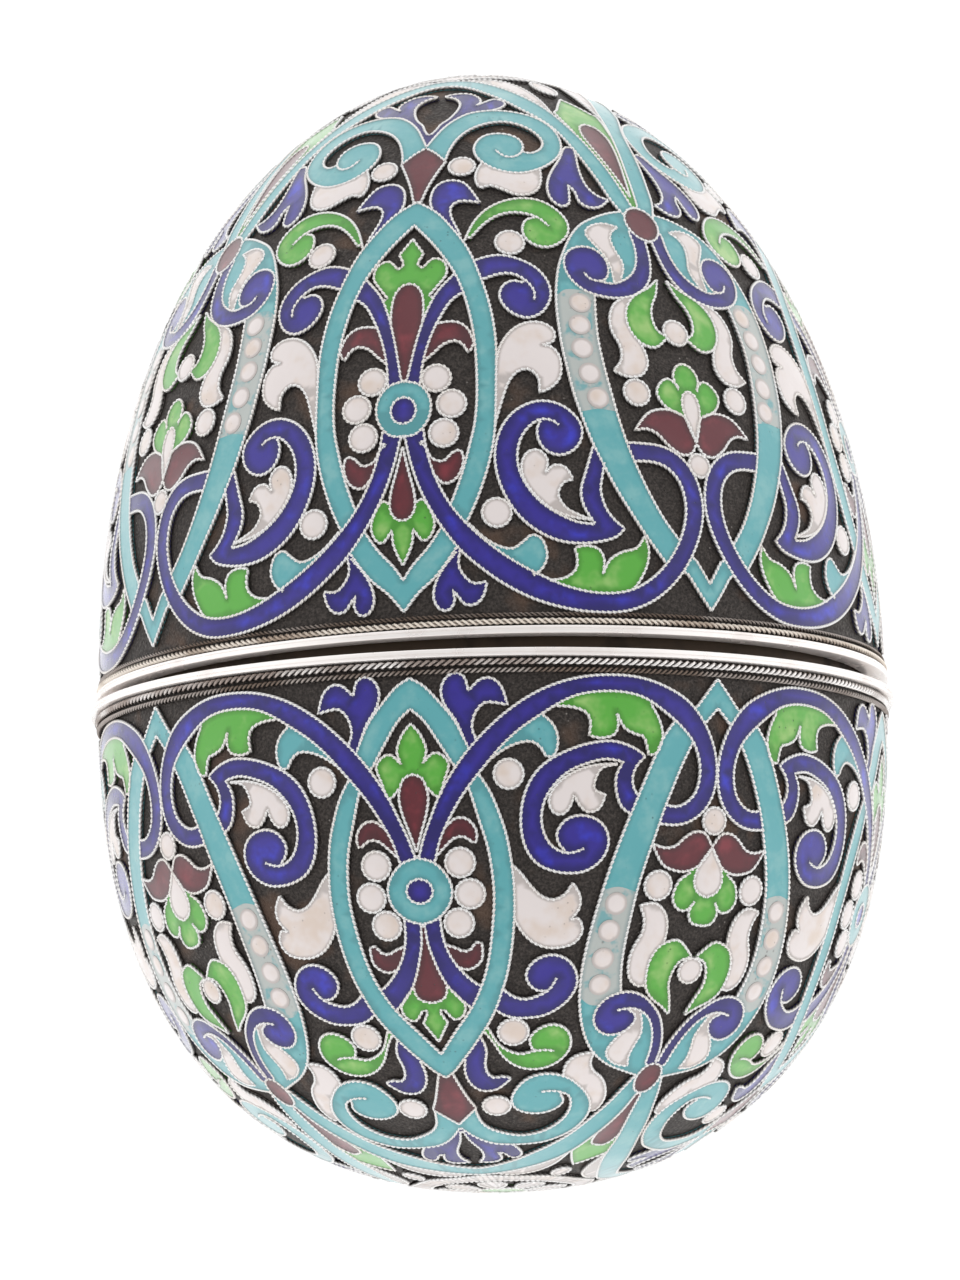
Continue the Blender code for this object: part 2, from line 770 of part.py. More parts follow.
def main():
    """Builds the two halves, sets the lid on and lays the egg on its flat spot."""
    for old in list(bpy.data.objects):
        bpy.data.objects.remove(old)
    ground = silver("oxidised silver and enamel", (0.12, 0.30, 0.34), 0.4)
    bright = silver("bright silver", (0.83, 0.81, 0.80), 0.2)
    rope = silver("rope silver", (0.62, 0.60, 0.57), 0.3)
    gilt = silver("gilt silver", (0.72, 0.52, 0.24), 0.3)

    axis_height = BASE_BAND_RADIUS - FLAT_DEPTH
    lowest = -BASE_HEIGHT
    highest = (lid_seat() @ Vector((0, LID_HEIGHT, 0))).y
    laid = Matrix.Translation((0, -(lowest + highest) / 2, axis_height))
    egg = seat("egg_axis", laid, None)
    base = seat("base_seat", Matrix.Rotation(BASE_TURN, 4, "Y"), egg)
    lid = seat("lid_seat", lid_seat(), egg)

    base_second = BAND_HEIGHT + BASE_THICK_WIRE + 2 * WIRE_GAP
    lid_second = BAND_HEIGHT + LID_THICK_WIRE + 2 * WIRE_GAP
    first = BAND_HEIGHT + WIRE_GAP
    pieces = {
        shell("base_shell", BASE, on_base, BASE_THICK_WIRE, BASE_THIN_WIRE, ground): base,
        mouth_band("base_rim", BASE, BASE_BAND_RADIUS, bright): base,
        rope_wire("base_rope_upper", BASE, first, BASE_THICK_WIRE, rope): base,
        rope_wire("base_rope_lower", BASE, base_second, BASE_THIN_WIRE, rope): base,
        collar(gilt): base,
        shell("lid_shell", LID, on_lid, LID_THICK_WIRE, LID_THIN_WIRE, ground): lid,
        mouth_band("lid_rim", LID, LID_BAND_RADIUS, bright): lid,
        rope_wire("lid_rope_lower", LID, first, LID_THICK_WIRE, rope): lid,
        rope_wire("lid_rope_upper", LID, lid_second, LID_THIN_WIRE, rope): lid,
    }
    cutter = flat_cutter()
    for piece, carrier in pieces.items():
        piece.parent = carrier
        cut_flat(piece, cutter)


main()
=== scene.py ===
"""Looks of the jewelled egg: silver ground, twisted wire cells, enamel, bands, ropes and gilding.

The pattern is drawn for one eighth of each half, as lines of azimuth in degrees from the middle
of a pointed frame, and millimetres from the mouth. A corner is marked with an exclamation mark.
"""
import logging
import math
from dataclasses import dataclass
from enum import Enum
from functools import cached_property

import bpy
import numpy as np
from mathutils import Matrix, Vector
from mathutils.geometry import delaunay_2d_cdt
from mathutils.kdtree import KDTree


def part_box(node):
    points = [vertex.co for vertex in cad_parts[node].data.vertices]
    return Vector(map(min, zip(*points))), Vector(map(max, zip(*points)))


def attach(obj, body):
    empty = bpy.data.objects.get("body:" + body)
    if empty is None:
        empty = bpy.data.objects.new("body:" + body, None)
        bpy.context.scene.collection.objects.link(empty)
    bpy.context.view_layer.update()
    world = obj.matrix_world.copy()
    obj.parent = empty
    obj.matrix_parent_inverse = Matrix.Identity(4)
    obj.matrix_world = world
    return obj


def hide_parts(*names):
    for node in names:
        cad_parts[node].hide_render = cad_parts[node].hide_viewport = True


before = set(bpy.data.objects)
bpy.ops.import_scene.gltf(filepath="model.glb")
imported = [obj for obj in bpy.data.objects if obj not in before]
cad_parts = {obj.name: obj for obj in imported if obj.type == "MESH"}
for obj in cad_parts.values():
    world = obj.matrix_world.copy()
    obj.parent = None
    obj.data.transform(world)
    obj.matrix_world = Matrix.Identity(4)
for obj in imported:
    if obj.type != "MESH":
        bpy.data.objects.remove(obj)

logging.basicConfig(level=logging.INFO, format="%(message)s")
log = logging.getLogger("egg")

MM = 0.001
Colour = tuple[float, float, float]
Point = tuple[float, float]
Patches = tuple[float, float, float]  # patches a metre, and where a patch starts and is full

# the egg's own sizes, in millimetres, as in the part's source
CELL_RISE = 0.45
WALL = 1.2
BAND_HEIGHT = 0.65
BASE_BAND_RADIUS = 34.0
LID_BAND_RADIUS = 33.55
WIRE_GAP = 0.1
LID_LIFT = 0.35
LID_AJAR = math.radians(0.8)
LID_OPENS_TOWARDS = math.radians(40)
LID_TURN = math.radians(-12.2)
BASE_TURN = math.radians(-11.6)
FLAT_DEPTH = 1.45

# how finely the shapes are made
PROFILE_STEPS = 600
NORMAL_STEPS = 3
CURVE_STEPS = 5
DOT_SIDES = 20
DOT_RINGS = ((0.35, 6), (0.7, 12))  # shares of a dot's radius, and points on that ring
AROUND = 160
DOWN = 46
DOWN_CROWDING = 0.9
REPEATS = 4
EIGHTH = 180 / REPEATS
CHART_STRETCH = 0.55
CHART_REACH = 1e-5
FIELD_GRID = 0.88
FIELD_ROW = 0.866 * FIELD_GRID
TREE_SPACING = 0.15
WIRE_CLEARANCE = 0.33
SNAP_REACH = 0.75
BORDER_REACH = 0.3
OWN_STEPS = 8  # steps of a curve beside its own end that don't count as met
NARROWEST = 3.0  # radius under which a degree is as wide as at it
WELD_REACH = 2e-6
THIN_EDGE = 1e-6
SAME = 1e-6

# the twisted wire and the enamel, in millimetres
WIRE_HALF_WIDTH = 0.166
WIRE_HALF_HEIGHT = 0.195
WIRE_MIDDLE = 0.205
BEAD_PITCH = 0.46
BEAD_SAMPLES = 2
WIRE_SIDES = 4
ENAMEL_DEPTH = 0.34
ROPE_SAMPLES = 4
ROPE_REACH = (1.0, 0.74, 0.22, 0.74) * 2  # two strands: reach of the rope's section all round

# the mouth band's section: how far in from its radius, and how far from the mouth
BAND_SECTION = (
    (0.10, 0.0), (0.03, 0.03), (0.0, 0.10), (0.0, 0.34), (0.05, 0.37), (0.05, 0.40), (0.0, 0.43),
    (0.0, 0.56), (0.03, 0.62), (0.10, BAND_HEIGHT),
)
GROUND_GAP = 0.02

# degrees over which an edge stays sharp
SHARP_GROUND = 40
SHARP_EDGE = 50
SHARP_WIRE = 80


def named_lines(text: str) -> dict[str, str]:
    """Written lines by name.

    Args:
        text: a name and its points in each row; a row that starts with a space goes on.

    Returns:
        The points of each line, as written.
    """
    whole = text.replace("\n ", " ").strip()
    return dict(row.split(" ", 1) for row in whole.splitlines())


# the two halves' patterns: azimuth,distance pairs, and dots as azimuth, distance and radius
LID_LINES = named_lines("""
frame_outer 0,39.6 4,38.3 7,36.6 10,34.3 12,31.6 13.6,28.4 14.3,25 14.1,21.5 13.6,17 12.6,14.2
 10.8,11.2 9,9
frame_inner 0,37 3.6,35 6.4,33 8.3,31.2 10,28.4 11,25 11.2,21 10.8,18 9.9,15.8 8.6,13.2 7.1,10.9
chevron_outer 0,2 2.1,3.5 4.3,4.6 6,5.75 7.75,7.2
chevron_inner 0,4.6 1.4,5.8 3.6,7.2 5.4,8.7
boss_outer 0,16.8 2,17 3.6,18 4.2,19.3 3.7,20.5 2.2,21.4 0,21.7
boss_inner 0,17.9 1.3,18.2 1.95,19.1 1.3,20 0,20.3
stem_inner 0.4,21.6 1.1,23.6 1.9,25.6 3.2,28 5,30 7.9,31.7
stem_outer 2.5,21.3 2.9,23.4 3.9,25.5 5.3,27.3 7.2,29 9.5,29.9
upper_drop 2.65,27.1 2.7,28.6 2.3,29.9 1.2,30.7 0,30.9
upper_trefoil 0,35.5 2.2,33.9! 1.3,32.9 2.2,32.4! 4,33.3 6,32.9 6.4,31.7 5,30.6 3.5,29.6
upper_crescent 4.6,26.8 6.4,27 8.4,26.9 10,26.2 10.9,24.9! 10,24.1 9.2,24.8 7.8,25.2 6,24.9
 4.6,24.2 2.9,23.4
lower_drop 0,15.9 0.8,14 1.7,12 1.8,10.6 1,9.8 0,9.6
lower_trefoil 1.8,11 3,11.3 4.2,10.2 4.6,9.1 3.9,8.1 2.8,7.9 1.5,8.9! 1.4,7.8 0.8,6.8 0,5.9
lower_leaf 2.4,16.2 3.4,15.8 4.3,14.8 6,14.5 7.4,15.2 8.6,15.3 8.9,14.3 7.9,13 6,12.6 4.4,13.6
scroll_outer 3.1,17.3 3.6,15.4 5,12.9 7,10.7 9.5,8.9 12.4,7.3 15.6,5.9 19.2,4.7 23.2,3.7 27.4,3.2
 31.6,3.35 35.2,4.3 38.4,6 40.8,8.2 41.9,10.5 41.4,12.6 39.6,13.9 37.2,14.4 34.2,14.4
scroll_inner 0.3,16.9 1.1,14.8 2.6,12.2 4.9,9.6 7.8,7.2 10.6,5.6 14.2,4 18.4,2.7 23,1.9 27.5,1.6
 32,1.8 36.4,2.9 40.4,5 43.4,7.8 44.75,10.5 44.2,13 42.2,14.8 38.9,15.8 34,16
branch_outer 29.6,14.2 29,12.8 28.7,11.7 29.3,10.3 30.5,9.3 31.9,8.6! 30.6,7.9 28.4,7.5 25.5,7.3
 22.4,7.5 19.6,8.2 17.2,9.3 15.3,10.8 14,12.6 13.5,14.4 13.8,16 14.9,17.5 16.8,18.7 19.3,19.4
 21.8,19.5 24.2,19 26,18 26.6,17 26.1,15.9 24.7,15.1 22.8,14.8 21,15.2 20,16.1 19.9,17.1 20.5,17.8
branch_inner 28.1,15.6 26.7,13.4 25.8,11.8 26.1,10.4 27.6,8.9! 24.9,9.1 22.2,9.8 19.8,10.8 18,12.1
 16.9,13.6 16.8,15.1 17.5,16.4 18.9,17.4 20.5,17.9 22.2,17.8 23.1,17.4
branch_leaf 27,9.3 24.4,9.5 21.6,10.1 19.2,11.3 17.7,12.6 17.3,13.9 18.2,15 19.9,15.2 21.1,14.4
 20.7,13.2! 22,13.9 23.7,13.7 24.7,12.7! 23.2,12.4 22.4,11.4 23.4,10.3 25.2,9.7 27,9.3
fin 9.5,9.1 11.5,7.9 13.7,7.1 15.6,6.9 17.2,7.5 18.4,8 19.8,7.6 20.4,6.3 19.6,5.2 18.2,4.6
bilobe 20.5,4.2 22.8,4.4 24.4,5.1 24.7,6.1 24.4,6.9! 26.1,7.1 27.9,6.8 28.6,5.9 28.3,4.7! 29.4,5.9
 31.3,6.6 33.6,7 34.9,8! 35.4,6.9 35,5.6 33.8,4.3 32.8,3.6
trefoil_blue 7.6,6.7 5.8,5.5 4.6,4.2 4.3,3 5.1,2.1 6.4,2 7.2,2.7 7,3.6! 7.7,3.1 8.7,2.4 10.2,2.4
 11.3,3.1 11.8,4.2! 10,4.1 8.7,4.7 7.9,5.7 8.2,7
ribbon_left 38.2,5.7 35.5,7.8 33.3,9.8 31.1,12 29.3,14.2 28,16 26.9,18 25.9,20.2 25.2,22.6 24.7,25
 24.6,28 25,30.2 26,32.3 27.6,34.1 29.4,35.6 31.8,36.8 34.9,37.6 38.2,38.2 41.3,38.5
ribbon_right 40.5,7.7 38.3,9.4 36.4,11.4 34.9,13.4 33.6,15.5 32.5,18 31.7,20.6 31.1,23 30.8,25.2
 31,27.4 31.5,29.6
side_chevron_outer 45,2.1 43.2,3.5 41.6,4.9
side_chevron_inner 45,4.3 43.9,5.3 42.9,6.2
curl_outer 44.3,35.4 43.9,33.4 42.9,31.7 41.2,30.5 38.9,29.7 35.8,29.3 32.7,29.4 29.9,29.9
 27.9,30.9 27,32.1 27.3,33.3 28.8,34.1 31.1,34.4 33.3,34.1 34.8,33.2 35,32.1 34.2,31.2 32.8,30.9
 31.2,31.1 30.3,31.7
curl_inner 41.4,36.3 41.5,34.6 40.8,33 39.3,31.8 37,31 34.9,30.7 32.8,30.9
curl_leaf 35.5,31 35.5,32.4 34.7,33.7 33.2,34.8 32.2,35.8 33.4,36.6 36.2,37 39.3,36.7! 37.6,36.1
 36.9,35.2 37.3,34 38,33 37.8,32.1 36.9,31.2
heart_green 44,31.4 41.8,30.5 38.9,29.7 37,28.6 36.3,27.3 36.8,26 38.4,25 40.8,24.8 43.2,25.8!
 41.6,26.4 41.1,27.6 41.7,28.8 43,29.9 44.1,31.4
side_leaf 36.6,29.3 34.7,28.7 33.5,27.5 33.4,26.1 34.4,24.7 34.2,23.4 32.7,22.4! 34.9,21.9
 37.2,22.1 38.6,23.1 38.5,24.3 37.6,25.4
petal_top 43.2,21 42.8,22.2 43.7,23.1 45,23.4
petal_side 43.4,21.2 41.9,21.9 40.3,21.5 39.4,20.5 40.5,19.4 42.9,18.7
petal_seed 45,20.9 43.9,20.5 43.5,19.4 44,17.9 45,16.3
wing_garnet 44.8,16.6 44,18.2 42.4,18.9 39.8,19.1 37.2,18.6 34.9,17.1! 36.7,17.3 38.5,16.9
 40.2,15.9 42.2,15.2 44,15.4 44.9,16.2
white_leaf 14.2,22.9 15,24.6 16.9,26 19.3,26.7 21.8,26.7 23.6,26 23.4,25 21.4,24.6! 23.1,24.4
 24.2,23.4 24,21.8 22.5,20.8 20.6,20.3! 20.6,21.6 19.2,22.4 17.4,22.2 15.9,21.2 14.7,19.4 13.7,17.6
hook_outer 11.2,32.9 13.6,33.3 16.1,33.4 18.9,33 21.6,32.2 23.3,31.1 23.9,29.9 23.5,28.8 22,27.7
 19.7,27.2 17.4,27.6 15.8,28.5 15.3,29.5 16.1,30.4 17.7,30.8 19.3,30.6
hook_inner 12.5,31 15.3,31.5 17.8,31.5 19.9,30.8 21.1,29.8 21,28.9
vine_outer 9.5,35 11.2,36.9 13.6,38.3 16.8,39.2 20.5,39.6 24.2,39.4 27.2,38.5 29,37.2 28.9,35.9
 27.3,34.9 24.9,34.3 22.6,34.4 20.8,35.1 20.3,36.1 21.1,37.1 22.8,37.4
vine_inner 10.6,35.3 13,36.7 15.5,37.6 18.3,38 21.1,37.9 23.6,37.4 25.4,36.5
flame 3.3,38.6 2.7,39.6 3.2,41 5,41.8 7.6,41.9 10,41.3 12.6,39.2! 10.4,39.4 8.3,39.4 6.9,38.8
 7,37.7 8.2,36.3 8.8,35.6
diamond 0,46.4 2.6,45.6 5.2,44.4! 3.4,42.9 1.8,41.2 0.7,39.4
spiral_outer 0,46.5 1.8,48 3.9,49.4 6.8,50.6 10.5,51.5 15.2,51.9 20.5,51.9 25.5,51.5 29.6,50.8
 32.6,49.6 33.8,48.1 33.4,46.5 31.7,45.1 28.6,43.9 25.2,43.1 21.75,42.7 18,42.9 14.9,43.6 12.5,44.7
 11.7,46 12.8,47.2 15,47.9 18,48.1 20.8,47.9 22.9,47.3 23.6,46.4 22.8,45.4 20.8,44.8 18.6,44.9
 16.8,45.7
spiral_inner 5,44.5 5.8,45.9 7.4,47.4 9.9,48.6 13,49.4 16.75,49.9 20.5,50 23.9,49.6 26.8,48.8
 28.6,47.7 28.8,46.7 27.4,45.8 25,45.3 23,45.5
pale_leaf 13.6,44.2 12.2,43 11.9,41.9 12.8,41 14.9,41.2 17.4,40.7 19.9,40.1 22.4,40.1 24.6,40.7
 25.8,41.9 26.2,43.4
tulip 36.4,46.2 34,46.2 31.5,44.6 28.9,43.1 27.3,41.8 26.7,40.6 27.1,39.5 28.7,38.8 30.4,39.1 31,40
 31.5,41.3! 32.5,40.5 32.8,39.4 34.4,38.8 36.9,38.9 39.5,39.8! 37.5,40.1 35.8,41 35.2,42.3
 35.4,43.8 36,45 36.4,46.2
vee_outer 41.6,38.2 40,39.9 38.9,42 37.7,44 36.4,46 34.9,48 33,49.6 29.9,51.1 26.75,52.3 23,53.8
 19.9,54.8 15.5,56 11.4,57 5.8,57.8 0,58
vee_inner 44.4,39 43.6,41.2 42.7,43.4 41.4,45.6 40,47.6 38.3,49.5 36.4,51.4 33.9,53.2 30.4,54.8
 26.1,56.4 19.9,58 12,59.3 4.25,59.8 0,59.9
oval 45,35.4 43,35.8 41.6,36.8 41.6,37.9 43,38.8 45,39.1
drop_garnet 45,40.3 44,42.6 42.8,44.8 41.7,46.8 41.3,48.4 42.4,49.7 45,50.2
drop_cap 39.4,48.6 38,50.6 37.4,52 38.8,52.4 41.4,53.6 45,54.9
heart_top 0.4,48.3 1.6,49 2.7,49.9 4.9,50.8 7,52.3 7.4,53.6 5.3,54.7 1.1,55.3! 6,55.7 11,55.5
 13.9,54.6 14.2,53.6 12.4,52.9! 15,53.5 18.6,54.2 21.6,53.9 22.2,53.2 20,52.4 16.6,51.9
rosette_disc 0,67.2 22,67.2 45,67.2
rosette_petal 0,63 9,63.4 14,64.6 11,66 0,67.2
rosette_leaf 45,63 36,63.4 31,64.6 34,66 45,67.2
ring_outer 0,60.3 10,60.6 22,60.8 34,60.7 45,60.6
ring_inner 0,62.3 22,62.4 45,62.3
pole_leaf 8,59.5 18,59.9 27,59.3 32,57.8 34.5,56 35.8,54 36.2,51.7
pole_drop 45,56 42,56.6 40.5,57.8 42,59.2 45,59.9
""")
LID_SEAMS = named_lines("""
ribbon_bar 26.6,18.6 29.4,18.9 32.3,18.7
ribbon_seam 24.8,29.3 26.6,30 29.9,29.9
""")
LID_DOTS: dict[str, tuple[float, float, float]] = {
    "dot_high": (5, 21.85, 1.2),
    "dot_middle": (7.3, 19.5, 1.2),
    "dot_low": (6.1, 16.95, 1.2),
    "field_dot": (13.5, 9.95, 1.2),
    "pearl_1": (29.6, 19.9, 0.95),
    "pearl_2": (28.7, 22.1, 0.95),
    "pearl_3": (28, 24.4, 0.95),
    "pearl_4": (28.1, 26.6, 0.95),
    "pearl_5": (28.7, 28.7, 0.95),
    "heart_dot": (45, 26.3, 1.15),
    "flower_dot": (45, 14.35, 1),
    "wing_dot": (36, 20.5, 1.15),
    "hook_dot": (17.7, 34.75, 1.2),
    "diamond_dot": (8.9, 43.7, 1.1),
}
LID_SEEDS = named_lines("""
turquoise 12.7,25 9.9,13 1.5,4.6 2.9,19.3 15,6.2 19.2,6.6 30.4,16 38,8.2 44,3.9 29.2,34.9 40.2,35.5
 4,47.4 30,47 18,44 42,40.8 34,51 10,58
pearl 26.2,24 30.2,24 25.5,27
cobalt 0.9,19.1 1.6,22.6 6.3,30.2 1.7,15.5 10,7.4 30,2.4 43,10.5 36,15.2 15.3,14.5 24,8.2 24,16.6
 5.4,3.2 9.6,3.3 42.6,33.8 31,32.8 35,30 22.6,30 13.5,32.4 17.5,29.2 5,40.4 8,40.6 30.2,41.5
 34.2,41.5 33.5,44.6 9,54.5 16,53 4,50
green 20,68.5 0.6,34 4.6,31.8 0.6,8.2 3.6,9.6 25.5,6 31.5,5.4 38.4,27 44,22.2 41,20.4 13,37.4
 25,35.2 42,52.4 26,38.2
garnet 0.6,28.4 0.5,12 6.8,26 5.8,13.6 40.5,17.4 0.6,43.6 43.6,37.2 43.6,46
white 1,65 44,65 22,61.5 24,58.3 44.5,58 5,21.9 7.3,19.5 6.1,16.9 18.6,13.6 13.5,9.9 29.6,19.9
 28.7,22.1 28,24.4 28.1,26.6 28.7,28.7 34.5,35.6 34.6,27.6 36.4,23.2 44.6,26.3 44.5,19 44.6,14.4
 36,20.5 17,24.3 22.6,22.6 17.7,34.7 8.9,43.7 20,41.4
""")
